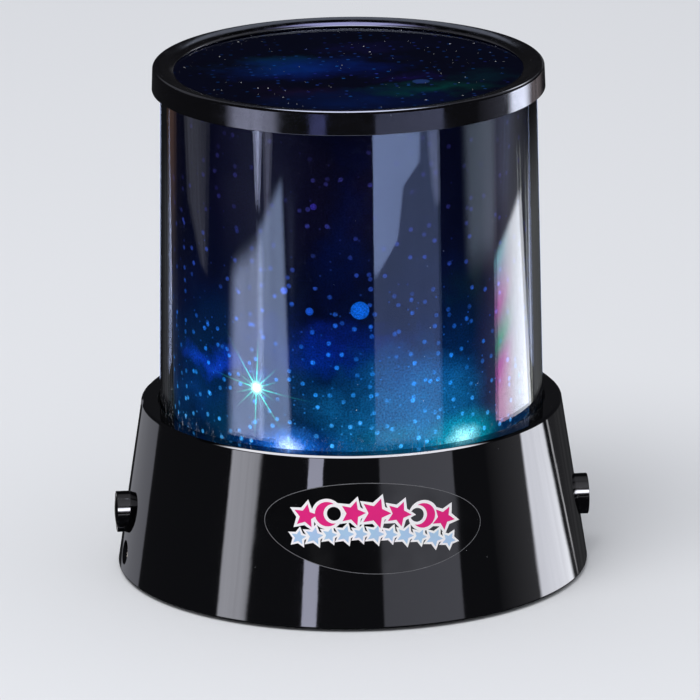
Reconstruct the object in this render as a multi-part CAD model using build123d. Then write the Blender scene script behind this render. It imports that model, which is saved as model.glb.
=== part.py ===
from build123d import *
import os
from math import cos, pi, radians, sin, tan

# Star night light projector. Sizes are in millimetres and angles in degrees. +Z is up, the
# front is -Y, and the origin lies on the table under the middle of the lamp.

# Clear cover: a moulded cup, upside down, a little narrower at its top
cover_foot_radius = 46.75
cover_height = 83.6
cover_draft = 0.95
cover_wall = 2.0
roof_thickness = 2.0

# Star film inside the cover
film_thickness = 0.3
film_gap = 0.15

# Ring over the cover's top edge
ring_wall = 2.0
ring_skirt = 4.2
ring_lip_height = 1.7
ring_taper = 0.2
ring_land_width = 3.3
ring_land_dip = 0.3
ring_lip_reach = 3.3
ring_gap = 0.05
ring_round = 0.8

# Base housing: a conical shell with a flat land and a recessed deck on top
rim_clearance = 0.7
base_height = 41.3
base_flare = 6.3
land_width = 4.1
land_bevel = 0.5
recess_depth = 2.0
housing_wall = 2.2
deck_thickness = 2.2
rim_round = 0.5
collar_wall = 1.5
collar_height = 3.0
wire_hole_radius = 6.0

# Clearances
seat_gap = 0.3
cover_gap = 0.35
collar_gap = 0.9
moving_gap = 0.35
screw_gap = 0.05
fit_gap = 0.15

# Front label: a thin oval sticker, a little askew
label_width = 54.0
label_height = 21.7
label_z = 24.7
label_thickness = 0.15
label_tilt = 3.0

# Projection dome over the lights
dome_flange_width = 4.2
dome_flange_thickness = 1.5
dome_skirt_height = 14.0
dome_wall = 1.5
star_rows = ((14.0, 11, 3.6), (38.0, 8, 4.2), (62.0, 5, 3.4))
star_waist = 0.45
crescent_radius = 5.0
crescent_bite_radius = 4.25
crescent_bite_offset = 2.75

# Light board with its lights
light_board_radius = 17.0
board_thickness = 1.6
light_board_rise = 3.0
light_circle = 6.5
light_radius = 2.5
light_flange = 0.4
light_flange_thickness = 1.0
light_body_height = 6.0
leg_radius = 0.25
leg_spacing = 2.54
leg_length = 3.0

# Screws
self_tapping_radius = 1.45
self_tapping_length = 14.0
small_screw_radius = 1.0
small_screw_length = 5.0
head_overhang = 0.95
head_height = 1.1
boss_wall = 2.0
rib_thickness = 1.4
bottom_screw_angles = (30, 150, 210, 330)
dome_screw_angles = (90, 210, 330)

# Bottom plate and feet
plate_thickness = 1.6
foot_radius = 4.5
foot_recess = 0.8
foot_inset = 6.4
foot_angles = (60, 120, 240, 300)

# Battery tray: three AA cells side by side
cell_radius = 7.25
cell_length = 49.5
cell_nub_radius = 2.75
cell_nub_length = 1.0
cell_edge_round = 0.5
cell_count = 3
cell_pitch = 14.9
cell_side_gap = 0.3
tray_wall = 1.5
contact_thickness = 0.4
contact_size = 11.0
contact_spring_length = 4.5
contact_spring_radius = 3.0
contact_wire_radius = 0.4
contact_spring_turns = 3

# Battery door
hinge_barrel_radius = 1.3
hinge_offset = 1.0
hinge_pin_radius = 0.7
hinge_pin_gap = 0.08
lug_width = 2.4
lug_margin = 0.9
door_side_lap = 0.85
tab_width = 11.0
tab_length = 8.2
door_screw_length = 7.0
door_screw_gap = 0.6
door_boss_height = 6.8

# Control board over the tray
control_board_size = (44.0, 36.0)
standoff_radius = 2.4
standoff_height = 3.0
standoff_inset = 4.0
chip_size = (10.0, 6.0, 1.7)
chip_gap = 1.0
chip_shift = 4.0
capacitor_radius = 2.5
capacitor_height = 7.5
capacitor_round = 0.3
capacitor_inset = 9.0
capacitor_pitch = 16.0
header_size = (10.0, 5.8, 6.0)
wire_radius = 0.5
wire_pitch = 1.6
wire_count = 5

# Push buttons
button_z = 14.7
button_radius = 5.0
button_proud = 3.0
button_round = 0.8
button_travel = 2.5
button_gap = 0.2
button_flange_radius = 6.0
button_flange_thickness = 1.2
guide_wall = 1.0
guide_depth = 6.9
stem_radius = 2.0
stem_socket_depth = 6.0
stem_insertion = 2.5
return_spring_length = 4.5
return_spring_radius = 3.4
return_wire_radius = 0.25
return_spring_turns = 3
switch_size = 9.0
switch_depth = 8.0
terminal_length = 3.0
terminal_thickness = 0.6
terminal_width = 1.2
cradle_wall = 1.2
button_angles = {"left": 180, "right": 0, "back": 90}

# Power inlet under the left button
inlet_angle = 185.5
inlet_z = 5.9
inlet_bore_radius = 3.0
inlet_wall = 0.5
inlet_length = 10.4
inlet_floor = 2.0
inlet_pin_radius = 1.0
inlet_pin_setback = 1.5

# Heights worked out from the sizes above
land_z = rim_clearance + base_height
seat_z = land_z - recess_depth
deck_under_z = seat_z - deck_thickness
cover_foot_z = seat_z + seat_gap
cover_top_z = cover_foot_z + cover_height
roof_under_z = cover_top_z - roof_thickness
ring_bottom_z = cover_top_z - ring_skirt
ring_top_z = cover_top_z + ring_lip_height
dome_centre_z = seat_z + dome_skirt_height
light_board_z = seat_z + light_board_rise
light_z = light_board_z + board_thickness
plate_top_z = rim_clearance + plate_thickness
cell_z = plate_top_z + moving_gap + cell_radius
tray_roof_z = cell_z + cell_radius + cell_side_gap
tray_top_z = tray_roof_z + tray_wall
control_board_z = tray_top_z + standoff_height
components_z = control_board_z + board_thickness
header_top_z = components_z + header_size[2]
hinge_z = rim_clearance + hinge_barrel_radius


def cover_radius(z):
    return cover_foot_radius - tan(radians(cover_draft)) * (z - cover_foot_z)


# Radii worked out from the sizes above
recess_radius = cover_foot_radius + cover_gap
base_top_radius = recess_radius + land_width
base_bottom_radius = base_top_radius + base_flare
film_radius = cover_radius(roof_under_z) - cover_wall - film_gap
collar_outer_radius = film_radius - film_thickness - collar_gap
collar_inner_radius = collar_outer_radius - collar_wall
dome_flange_radius = collar_inner_radius - seat_gap
dome_radius = dome_flange_radius - dome_flange_width
dome_screw_circle = dome_flange_radius - dome_flange_width / 2
ring_bore_radius = cover_radius(ring_bottom_z) + ring_gap
ring_radius = ring_bore_radius + ring_wall


def wall_radius(z):
    return base_bottom_radius - base_flare / base_height * (z - rim_clearance)


def inner_radius(z):
    return wall_radius(z) - housing_wall


boss_radius = self_tapping_radius + boss_wall
bottom_screw_circle = inner_radius(deck_under_z) - boss_radius - fit_gap
plate_radius = inner_radius(plate_top_z) - fit_gap
foot_circle = plate_radius - foot_inset
light_screw_circle = light_board_radius - boss_radius
pocket_half_width = (cell_count - 1) / 2 * cell_pitch + cell_radius + cell_side_gap
cell_run = cell_length + cell_nub_length + contact_spring_length
pocket_half_length = cell_run / 2 + contact_thickness
door_half_width = pocket_half_width + door_side_lap
hinge_y = -(pocket_half_length + tray_wall + hinge_offset)
door_end_y = pocket_half_length + tray_wall
tab_end_y = door_end_y + tab_length
door_screw_y = door_end_y + tab_length / 2
button_end = wall_radius(button_z) + button_proud
guide_end = wall_radius(button_z) - guide_depth
flange_outer = guide_end - seat_gap
flange_inner = flange_outer - button_flange_thickness
switch_face = flange_inner - return_spring_length
switch_back = switch_face - switch_depth
guide_bore_radius = button_radius + button_gap
inlet_radius = inlet_bore_radius + inlet_wall
inlet_front = inner_radius(inlet_z + inlet_radius) - fit_gap
inlet_back = inlet_front - inlet_length


def disc(radius, low, high):
    return Pos(0, 0, low) * Cylinder(radius, high - low, align=(Align.CENTER, Align.CENTER, Align.MIN))


def block(size_x, size_y, low, high):
    return Pos(0, 0, low) * Box(size_x, size_y, high - low, align=(Align.CENTER, Align.CENTER, Align.MIN))


def turned(*points):
    return revolve(Plane.XZ * make_face(Polyline(*points, close=True)), Axis.Z)


# A place on the housing whose own z points outwards, x goes round and y is up
def outward(angle, z):
    direction = (cos(radians(angle)), sin(radians(angle)), 0)
    around = (-direction[1], direction[0], 0)
    return Plane(origin=(0, 0, z), x_dir=around, z_dir=direction).location


def at_polar(radius, angle):
    return Rot(0, 0, angle) * Pos(radius, 0, 0)


# A countersunk screw, head down, with its head's face at z = 0
def countersunk_screw(shank_radius, length):
    head_radius = shank_radius + head_overhang
    profile = ((0, 0), (head_radius, 0), (shank_radius, head_height), (shank_radius, length), (0, length))
    return turned(*profile)


# A pan-head screw, pointing down, with the head's seat at z = 0
def pan_screw(shank_radius, length):
    head = disc(shank_radius + head_overhang, 0, head_height)
    return fillet(head.edges().group_by(Axis.Z)[-1], head_height / 2) + disc(shank_radius, -length, 0)


# A coil spring along z, with its wire's centre line from z = 0 upwards
def coil(radius, wire_radius, height, turns):
    path = Helix(pitch=height / turns, height=height, radius=radius)
    section = Plane(origin=path @ 0, z_dir=path % 0) * Circle(wire_radius)
    return sweep(section, path=path, is_frenet=True)


def clear_cover():
    outer = ((0, cover_foot_z), (cover_foot_radius, cover_foot_z), (cover_radius(cover_top_z), cover_top_z))
    inner_foot = cover_foot_radius - cover_wall
    inner_top = cover_radius(roof_under_z) - cover_wall
    cup = turned(*outer, (0, cover_top_z))
    inner = ((0, cover_foot_z), (inner_foot, cover_foot_z), (inner_top, roof_under_z))
    return cup - turned(*inner, (0, roof_under_z))


def star_film_sleeve():
    high = roof_under_z - film_gap
    return disc(film_radius, cover_foot_z, high) - disc(film_radius - film_thickness, cover_foot_z, high)


def star_film_disc():
    return disc(film_radius - film_thickness - film_gap, roof_under_z - film_thickness, roof_under_z)


def top_ring():
    ring_top_radius = ring_radius - ring_taper
    ring = turned(
        (ring_bore_radius, ring_bottom_z),
        (ring_radius, ring_bottom_z),
        (ring_top_radius, ring_top_z),
        (ring_top_radius - ring_land_width, ring_top_z - ring_land_dip),
        (ring_bore_radius - ring_lip_reach, cover_top_z),
        (ring_bore_radius, cover_top_z),
    )
    top_edge = ring.edges().filter_by(GeomType.CIRCLE).group_by(Axis.Z)[-1]
    return fillet(top_edge, ring_round)


def housing_shell():
    shell = turned(
        (base_bottom_radius, rim_clearance),
        (wall_radius(land_z - land_bevel), land_z - land_bevel),
        (base_top_radius - land_bevel, land_z),
        (recess_radius, land_z),
        (recess_radius, seat_z),
        (collar_outer_radius, seat_z),
        (collar_outer_radius, seat_z + collar_height),
        (collar_inner_radius, seat_z + collar_height),
        (collar_inner_radius, seat_z),
        (wire_hole_radius, seat_z),
        (wire_hole_radius, deck_under_z),
        (inner_radius(deck_under_z), deck_under_z),
        (inner_radius(rim_clearance), rim_clearance),
    )
    rim_edge = shell.edges().filter_by(GeomType.CIRCLE).group_by(Axis.Z)[0].sort_by(SortBy.RADIUS)[-1]
    return fillet(rim_edge, rim_round)


# The solid cone through the middle of the housing's wall, which trims what stands inside it
def wall_core():
    reach = housing_wall / 2
    bottom = (wall_radius(rim_clearance) - reach, rim_clearance)
    top = (wall_radius(land_z) - reach, land_z)
    return turned((0, rim_clearance), bottom, top, (0, land_z))


def screw_column(angle):
    column = at_polar(bottom_screw_circle, angle) * disc(boss_radius, plate_top_z, deck_under_z + fit_gap)
    rib_length = base_bottom_radius - bottom_screw_circle
    rib_middle = bottom_screw_circle + rib_length / 2
    rib = at_polar(rib_middle, angle) * block(rib_length, rib_thickness, plate_top_z, deck_under_z + fit_gap)
    return column + rib


def base_housing():
    inside = [screw_column(angle) for angle in bottom_screw_angles]
    for angle in button_angles.values():
        inside.append(outward(angle, button_z) * disc(guide_bore_radius + guide_wall, guide_end, button_end))
    inside.append(outward(inlet_angle, inlet_z) * disc(inlet_radius, inlet_front, button_end))
    housing = housing_shell() + [piece & wall_core() for piece in inside]
    dome_boss_radius = small_screw_radius + boss_wall
    for angle in dome_screw_angles:
        boss = disc(dome_boss_radius, deck_under_z - small_screw_length, deck_under_z + fit_gap)
        housing += at_polar(dome_screw_circle, angle) * boss
        post = disc(dome_boss_radius, seat_z - fit_gap, light_board_z)
        housing += at_polar(light_screw_circle, angle) * post
    small_hole = disc(small_screw_radius + screw_gap, -small_screw_length - seat_gap, board_thickness)
    for angle in dome_screw_angles:
        housing -= at_polar(dome_screw_circle, angle) * Pos(0, 0, seat_z) * small_hole
        housing -= at_polar(light_screw_circle, angle) * Pos(0, 0, light_board_z) * small_hole
    pilot = disc(self_tapping_radius + screw_gap, 0, rim_clearance + self_tapping_length + seat_gap)
    for angle in bottom_screw_angles:
        housing -= at_polar(bottom_screw_circle, angle) * pilot
    for angle in button_angles.values():
        housing -= outward(angle, button_z) * disc(guide_bore_radius, switch_face, button_end)
    housing -= outward(inlet_angle, inlet_z) * disc(inlet_bore_radius, inlet_back, button_end)
    return housing


def front_label():
    sheet_low = label_z - label_height
    sheet_high = label_z + label_height
    wall = turned(
        (wall_radius(sheet_low), sheet_low),
        (wall_radius(sheet_low) + label_thickness, sheet_low),
        (wall_radius(sheet_high) + label_thickness, sheet_high),
        (wall_radius(sheet_high), sheet_high),
    )
    half_angle = label_width / 2 / wall_radius(label_z)
    flat_half_width = wall_radius(label_z) * sin(half_angle)
    oval = Rot(0, 0, -label_tilt) * Ellipse(flat_half_width, label_height / 2)
    front = Plane(origin=(0, 0, label_z), x_dir=(1, 0, 0), z_dir=(0, -1, 0))
    return wall & extrude(front * oval, base_bottom_radius + housing_wall)


# A flat five-pointed star, point up
def star_face(radius):
    corners = []
    for step in range(10):
        reach = radius if step % 2 == 0 else radius * star_waist
        turn = pi / 2 + step * pi / 5
        corners.append((reach * cos(turn), reach * sin(turn)))
    return make_face(Polyline(*corners, close=True))


def projection_dome():
    flange_top = seat_z + dome_flange_thickness
    dome_centre = Pos(0, 0, dome_centre_z)
    dome = disc(dome_flange_radius, seat_z, flange_top) + disc(dome_radius, seat_z, dome_centre_z)
    dome += dome_centre * Sphere(dome_radius)
    dome -= disc(dome_radius - dome_wall, seat_z - dome_radius, dome_centre_z)
    dome -= dome_centre * Sphere(dome_radius - dome_wall)
    for row, (elevation, count, star_radius) in enumerate(star_rows):
        cutter = extrude(star_face(star_radius), dome_radius + dome_wall)
        for step in range(count):
            turn = (step + row / 2) * 360 / count
            tilt = Rot(0, 0, turn) * Rot(0, 90 - elevation, 0) * Rot(0, 0, -90)
            dome -= dome_centre * tilt * cutter
    bite = Pos(crescent_bite_offset, 0) * Circle(crescent_bite_radius)
    dome -= dome_centre * extrude(Circle(crescent_radius) - bite, dome_radius + dome_wall)
    for angle in dome_screw_angles:
        dome -= at_polar(dome_screw_circle, angle) * disc(small_screw_radius + screw_gap, seat_z, flange_top)
    return dome


def dome_screws():
    screw = pan_screw(small_screw_radius, small_screw_length)
    seat = Pos(0, 0, seat_z + dome_flange_thickness)
    return Compound([at_polar(dome_screw_circle, angle) * seat * screw for angle in dome_screw_angles])


light_places = {
    color: Rot(0, 0, 45 + 90 * step) * Pos(light_circle, 0, 0) * Rot(0, 0, -45 - 90 * step)
    for step, color in enumerate(("white", "red", "green", "blue"))
}


def light_board():
    board = disc(light_board_radius, light_board_z, light_z)
    for angle in dome_screw_angles:
        hole = disc(small_screw_radius + screw_gap, light_board_z, light_z)
        board -= at_polar(light_screw_circle, angle) * hole
    for place in light_places.values():
        for side in (-1, 1):
            hole = disc(leg_radius + screw_gap, light_board_z, light_z)
            board -= place * Pos(side * leg_spacing / 2, 0, 0) * hole
    return board


def light_board_screws():
    screw = Pos(0, 0, light_z) * pan_screw(small_screw_radius, small_screw_length)
    return Compound([at_polar(light_screw_circle, angle) * screw for angle in dome_screw_angles])


def light(place):
    body = disc(light_radius + light_flange, light_z, light_z + light_flange_thickness)
    body += disc(light_radius, light_z, light_z + light_body_height)
    body += Pos(0, 0, light_z + light_body_height) * Sphere(light_radius)
    for side in (-1, 1):
        leg = disc(leg_radius, light_z - leg_length, light_z)
        body += Pos(side * leg_spacing / 2, 0, 0) * leg
    return place * body


def tray_shell():
    width = 2 * (pocket_half_width + tray_wall)
    length = 2 * (pocket_half_length + tray_wall)
    return block(width, length, rim_clearance, tray_top_z)


def tray_pocket():
    return block(2 * pocket_half_width, 2 * pocket_half_length, 0, tray_roof_z)


def switch_cradle(angle):
    low_z = button_z - switch_size / 2
    middle = (switch_face + switch_back) / 2
    seat = block(switch_depth, switch_size + 2 * (cradle_wall + fit_gap), plate_top_z - fit_gap, low_z)
    cradle = seat
    for side in (-1, 1):
        offset = side * (switch_size + cradle_wall + 2 * fit_gap) / 2
        cradle += Pos(0, offset, 0) * block(switch_depth, cradle_wall, plate_top_z - fit_gap, button_z)
    return at_polar(middle, angle) * cradle


# Where the door and its barrel lie, grown by a clearance
def door_space(gap):
    length = door_end_y - hinge_y + gap
    plate = block(2 * (door_half_width + gap), length, rim_clearance - gap, plate_top_z + gap)
    space = Pos(0, hinge_y + length / 2, 0) * plate
    tab = block(tab_width + 2 * gap, tab_length + door_side_lap, rim_clearance - gap, plate_top_z + gap)
    space += Pos(0, tab_end_y + gap - (tab_length + door_side_lap) / 2, 0) * tab
    return space + hinge_rod(hinge_barrel_radius + gap, door_half_width + gap)


# Room below the barrel for the door's plate when it hangs straight down
def door_swing_space():
    reach = hinge_barrel_radius + moving_gap
    space = block(2 * (door_half_width + moving_gap), 2 * reach, rim_clearance - reach, hinge_z)
    return Pos(0, hinge_y, 0) * space


def hinge_rod(radius, half_length):
    return Pos(0, hinge_y, hinge_z) * Rot(0, 90, 0) * Cylinder(radius, 2 * half_length)


def hinge_lug(side):
    low = door_half_width
    middle = side * (low + (moving_gap + lug_width) / 2)
    depth = 2 * (hinge_barrel_radius + lug_margin)
    lug = block(moving_gap + lug_width, depth, rim_clearance, hinge_z + hinge_barrel_radius + lug_margin)
    return Pos(middle, hinge_y, 0) * lug


def standoff_places():
    half_x = control_board_size[0] / 2 - standoff_inset
    half_y = control_board_size[1] / 2 - standoff_inset
    return [Pos(side_x * half_x, side_y * half_y, 0) for side_x in (-1, 1) for side_y in (-1, 1)]


def bottom_plate():
    plate = disc(plate_radius, rim_clearance, plate_top_z) + tray_shell()
    for angle in button_angles.values():
        plate += switch_cradle(angle)
    for side in (-1, 1):
        plate += hinge_lug(side)
    for place in standoff_places():
        plate += place * disc(standoff_radius, tray_top_z - fit_gap, control_board_z)
    door_boss_radius = small_screw_radius + door_screw_gap + tray_wall
    door_boss_top = plate_top_z + door_boss_height
    plate += Pos(0, door_screw_y, 0) * disc(door_boss_radius, rim_clearance, door_boss_top)
    rib_length = door_screw_y - door_end_y + tray_wall
    rib = block(rib_thickness, rib_length, rim_clearance, door_boss_top)
    plate += Pos(0, door_screw_y - rib_length / 2, 0) * rib
    plate -= tray_pocket()
    plate -= door_space(moving_gap)
    plate -= door_swing_space()
    plate -= hinge_rod(hinge_pin_radius + hinge_pin_gap, door_half_width + moving_gap + lug_width)
    boss_bore = disc(small_screw_radius + door_screw_gap, 0, rim_clearance + door_screw_length + seat_gap)
    plate -= Pos(0, door_screw_y, 0) * boss_bore
    small_hole = disc(small_screw_radius + screw_gap, -standoff_height, 0)
    for place in standoff_places():
        plate -= place * Pos(0, 0, control_board_z) * small_hole
    countersink = countersunk_screw(self_tapping_radius + screw_gap, self_tapping_length)
    for angle in bottom_screw_angles:
        plate -= at_polar(bottom_screw_circle, angle) * Pos(0, 0, rim_clearance) * countersink
    for angle in foot_angles:
        plate -= at_polar(foot_circle, angle) * disc(foot_radius, 0, rim_clearance + foot_recess)
    return plate


def bottom_screws():
    screw = Pos(0, 0, rim_clearance) * countersunk_screw(self_tapping_radius, self_tapping_length)
    return Compound([at_polar(bottom_screw_circle, angle) * screw for angle in bottom_screw_angles])


def rubber_feet():
    foot = disc(foot_radius, 0, rim_clearance + foot_recess)
    foot = fillet(foot.edges().group_by(Axis.Z)[0], rim_clearance / 2)
    return Compound([at_polar(foot_circle, angle) * foot for angle in foot_angles])


# Cells alternate: +1 has its nub towards +Y, and -1 towards -Y
def cell_places():
    places = []
    for index in range(cell_count):
        offset = (index - (cell_count - 1) / 2) * cell_pitch
        places.append((offset, 1 if index % 2 == 0 else -1))
    return places


# Turns a shape that points up z so that it points along +Y or -Y at a cell's axis
def along_cell(offset, sign, start):
    return Pos(offset, sign * start, cell_z) * Rot(-90 * sign, 0, 0)


def battery_cells():
    cells = []
    nub_tip = pocket_half_length - contact_thickness
    body_start = nub_tip - cell_nub_length - cell_length
    for offset, sign in cell_places():
        body = disc(cell_radius, 0, cell_length)
        body = fillet(body.edges().filter_by(GeomType.CIRCLE), cell_edge_round)
        body += disc(cell_nub_radius, cell_length, cell_length + cell_nub_length)
        cells.append(along_cell(offset, sign, body_start) * body)
    return Compound(cells)


def battery_springs():
    springs = []
    height = contact_spring_length - 2 * contact_wire_radius
    start = contact_thickness + contact_wire_radius - pocket_half_length
    for offset, sign in cell_places():
        spring = coil(contact_spring_radius, contact_wire_radius, height, contact_spring_turns)
        springs.append(along_cell(offset, sign, start) * spring)
    return Compound(springs)


# Spring steel plates at both ends: one cell's alone, or one bridge over two cells
def battery_contacts():
    plates = []
    offsets = [offset for offset, sign in cell_places()]
    for end in (1, -1):
        groups = (offsets[:1], offsets[1:]) if end > 0 else (offsets[:-1], offsets[-1:])
        for group in groups:
            width = group[-1] - group[0] + contact_size
            middle = (group[-1] + group[0]) / 2
            place = Pos(middle, end * (pocket_half_length - contact_thickness / 2), cell_z)
            plates.append(place * Box(width, contact_thickness, contact_size))
    return Compound(plates)


def battery_door():
    door = door_space(0)
    door += hinge_rod(hinge_pin_radius, door_half_width + moving_gap + lug_width - seat_gap)
    countersink = countersunk_screw(small_screw_radius + screw_gap, door_screw_length)
    return door - Pos(0, door_screw_y, rim_clearance) * countersink


def battery_door_screw():
    return Pos(0, door_screw_y, rim_clearance) * countersunk_screw(small_screw_radius, door_screw_length)


def control_board():
    board = block(*control_board_size, control_board_z, components_z)
    for place in standoff_places():
        board -= place * disc(small_screw_radius + screw_gap, control_board_z, components_z)
    return board


def control_board_screws():
    screw = Pos(0, 0, components_z) * pan_screw(small_screw_radius, board_thickness + standoff_height / 2)
    return Compound([place * screw for place in standoff_places()])


def control_chip():
    chip = block(chip_size[0], chip_size[1], components_z, components_z + chip_size[2])
    return Pos((header_size[0] + chip_size[0]) / 2 + chip_gap, chip_shift, 0) * chip


def control_capacitors():
    can = disc(capacitor_radius, components_z, components_z + capacitor_height)
    can = fillet(can.edges().group_by(Axis.Z)[-1], capacitor_round)
    row = Pos(capacitor_inset - control_board_size[0] / 2, 0, 0) * can
    return Compound([Pos(0, side * capacitor_pitch / 2, 0) * row for side in (1, -1)])


def wire_header():
    return block(header_size[0], header_size[1], components_z, header_top_z)


def light_wires():
    wire = disc(wire_radius, header_top_z, light_board_z)
    offsets = [(step - (wire_count - 1) / 2) * wire_pitch for step in range(wire_count)]
    return Compound([Pos(offset, 0, 0) * wire for offset in offsets])


def button_cap():
    cap = disc(button_radius, flange_inner, button_end)
    cap = fillet(cap.edges().group_by(Axis.Z)[-1], button_round)
    cap += disc(button_flange_radius, flange_inner, flange_outer)
    return cap - disc(stem_radius, flange_inner, flange_inner + stem_socket_depth)


def button_stem():
    return disc(stem_radius, switch_face - stem_insertion, flange_inner + stem_socket_depth)


def button_spring():
    height = return_spring_length - 2 * return_wire_radius
    spring = coil(return_spring_radius, return_wire_radius, height, return_spring_turns)
    return Pos(0, 0, switch_face + return_wire_radius) * spring


def button_switch():
    body = block(switch_size, switch_size, switch_back, switch_face)
    bore_floor = switch_face - stem_insertion - button_travel - seat_gap
    body -= disc(stem_radius + button_gap, bore_floor, switch_face)
    for side in (-1, 1):
        terminal = block(terminal_thickness, terminal_width, switch_back - terminal_length, switch_back)
        body += Pos(side * switch_size / 4, 0, 0) * terminal
    return body


def power_inlet():
    inlet = disc(inlet_radius, inlet_back, inlet_front)
    inlet -= disc(inlet_bore_radius, inlet_back + inlet_floor, inlet_front)
    return outward(inlet_angle, inlet_z) * inlet


def power_inlet_pin():
    pin = disc(inlet_pin_radius, inlet_back + inlet_floor, inlet_front - inlet_pin_setback)
    pin = fillet(pin.edges().group_by(Axis.Z)[-1], inlet_pin_radius / 2)
    return outward(inlet_angle, inlet_z) * pin


pieces = {
    "clear_cover": clear_cover(),
    "star_film_sleeve": star_film_sleeve(),
    "star_film_disc": star_film_disc(),
    "top_ring": top_ring(),
    "base_housing": base_housing(),
    "front_label": front_label(),
    "projection_dome": projection_dome(),
    "dome_screws": dome_screws(),
    "light_board": light_board(),
    "light_board_screws": light_board_screws(),
    "light_wires": light_wires(),
    "bottom_plate": bottom_plate(),
    "bottom_screws": bottom_screws(),
    "rubber_feet": rubber_feet(),
    "battery_cells": battery_cells(),
    "battery_springs": battery_springs(),
    "battery_contacts": battery_contacts(),
    "battery_door": battery_door(),
    "battery_door_screw": battery_door_screw(),
    "control_board": control_board(),
    "control_board_screws": control_board_screws(),
    "control_chip": control_chip(),
    "control_capacitors": control_capacitors(),
    "wire_header": wire_header(),
    "dc_jack": power_inlet(),
    "dc_jack_pin": power_inlet_pin(),
}
for color, place in light_places.items():
    pieces[f"light_{color}"] = light(place)
for side, angle in button_angles.items():
    button_place = outward(angle, button_z)
    pieces[f"button_{side}_cap"] = button_place * button_cap()
    pieces[f"button_{side}_stem"] = button_place * button_stem()
    pieces[f"button_{side}_spring"] = button_place * button_spring()
    pieces[f"button_{side}_switch"] = button_place * button_switch()

os.makedirs("parts", exist_ok=True)
for name, shape in pieces.items():
    export_step(shape, f"parts/{name}.step")
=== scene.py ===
import math

import bmesh
import bpy
from mathutils import Matrix, Vector


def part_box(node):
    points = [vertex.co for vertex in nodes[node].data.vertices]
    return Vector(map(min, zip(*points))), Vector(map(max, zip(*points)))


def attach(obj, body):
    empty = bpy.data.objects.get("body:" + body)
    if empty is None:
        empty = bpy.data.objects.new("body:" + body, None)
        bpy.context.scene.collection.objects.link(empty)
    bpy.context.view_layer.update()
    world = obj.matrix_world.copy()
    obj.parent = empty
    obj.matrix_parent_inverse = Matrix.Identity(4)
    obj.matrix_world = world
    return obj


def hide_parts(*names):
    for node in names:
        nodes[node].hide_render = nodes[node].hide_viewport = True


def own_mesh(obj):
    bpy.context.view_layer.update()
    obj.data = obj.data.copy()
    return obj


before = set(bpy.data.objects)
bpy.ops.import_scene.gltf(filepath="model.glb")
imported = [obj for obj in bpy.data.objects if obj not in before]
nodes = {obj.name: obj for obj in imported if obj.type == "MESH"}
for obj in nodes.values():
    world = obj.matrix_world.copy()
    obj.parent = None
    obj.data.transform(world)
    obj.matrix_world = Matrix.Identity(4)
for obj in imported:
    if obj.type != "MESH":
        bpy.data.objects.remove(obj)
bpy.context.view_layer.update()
print("frame loaded:", len(nodes), "nodes")

mm = 0.001
roundSteps = 256  # segments round the large turned pieces
pole = 0.0004  # a ring this small, in millimetres, is merged to one point
touch = 0.005  # points closer than this, in millimetres, are in one place


def span(node):  # a CAD node's lowest and highest corner, in millimetres
    low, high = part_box(node)
    return low / mm, high / mm


# Small helpers for modelling


def deselectAll():
    bpy.ops.object.select_all(action="DESELECT")


def pickOnly(piece):
    deselectAll()
    piece.select_set(True)
    bpy.context.view_layer.objects.active = piece


def named(piece, name):
    piece.name = name
    piece.data.name = name
    return piece


def pickFaces(piece, chosen):  # in edit mode: selects the faces for which chosen(face) is true
    bpy.ops.mesh.select_mode(type="FACE")
    bpy.ops.mesh.select_all(action="DESELECT")
    cage = bmesh.from_edit_mesh(piece.data)
    for face in cage.faces:
        face.select_set(bool(chosen(face)))
    bmesh.update_edit_mesh(piece.data)


def pickVertices(piece, chosen):
    bpy.ops.mesh.select_mode(type="VERT")
    bpy.ops.mesh.select_all(action="DESELECT")
    cage = bmesh.from_edit_mesh(piece.data)
    for vertex in cage.verts:
        vertex.select_set(bool(chosen(vertex)))
    cage.select_flush(True)
    bmesh.update_edit_mesh(piece.data)


def applyModifier(piece, kind, **settings):
    pickOnly(piece)
    modifier = piece.modifiers.new(kind.title(), kind)
    for name, value in settings.items():
        setattr(modifier, name, value)
    bpy.ops.object.modifier_apply(modifier=modifier.name)


def joinAll(pieces):  # the first one takes in the others
    pickOnly(pieces[0])
    if len(pieces) > 1:
        for piece in pieces:
            piece.select_set(True)
        bpy.ops.object.join()
    return pieces[0]


def settle(piece):  # puts the piece's place in its mesh, as a CAD node's is
    pickOnly(piece)
    bpy.ops.object.transform_apply(location=True, rotation=True, scale=True)
    return piece


def smooth(piece, angle=35):
    pickOnly(piece)
    bpy.ops.object.shade_smooth_by_angle(angle=math.radians(angle))


# Rounds the edges, and keeps the shading of the large faces clean beside them
def roundEdges(piece, width, steps=2, angle=28):
    applyModifier(piece, "BEVEL", width=width * mm, segments=steps, limit_method="ANGLE",
                  angle_limit=math.radians(angle), use_clamp_overlap=False)
    smooth(piece, 50)
    applyModifier(piece, "WEIGHTED_NORMAL", mode="FACE_AREA", weight=100, keep_sharp=True)


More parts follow.
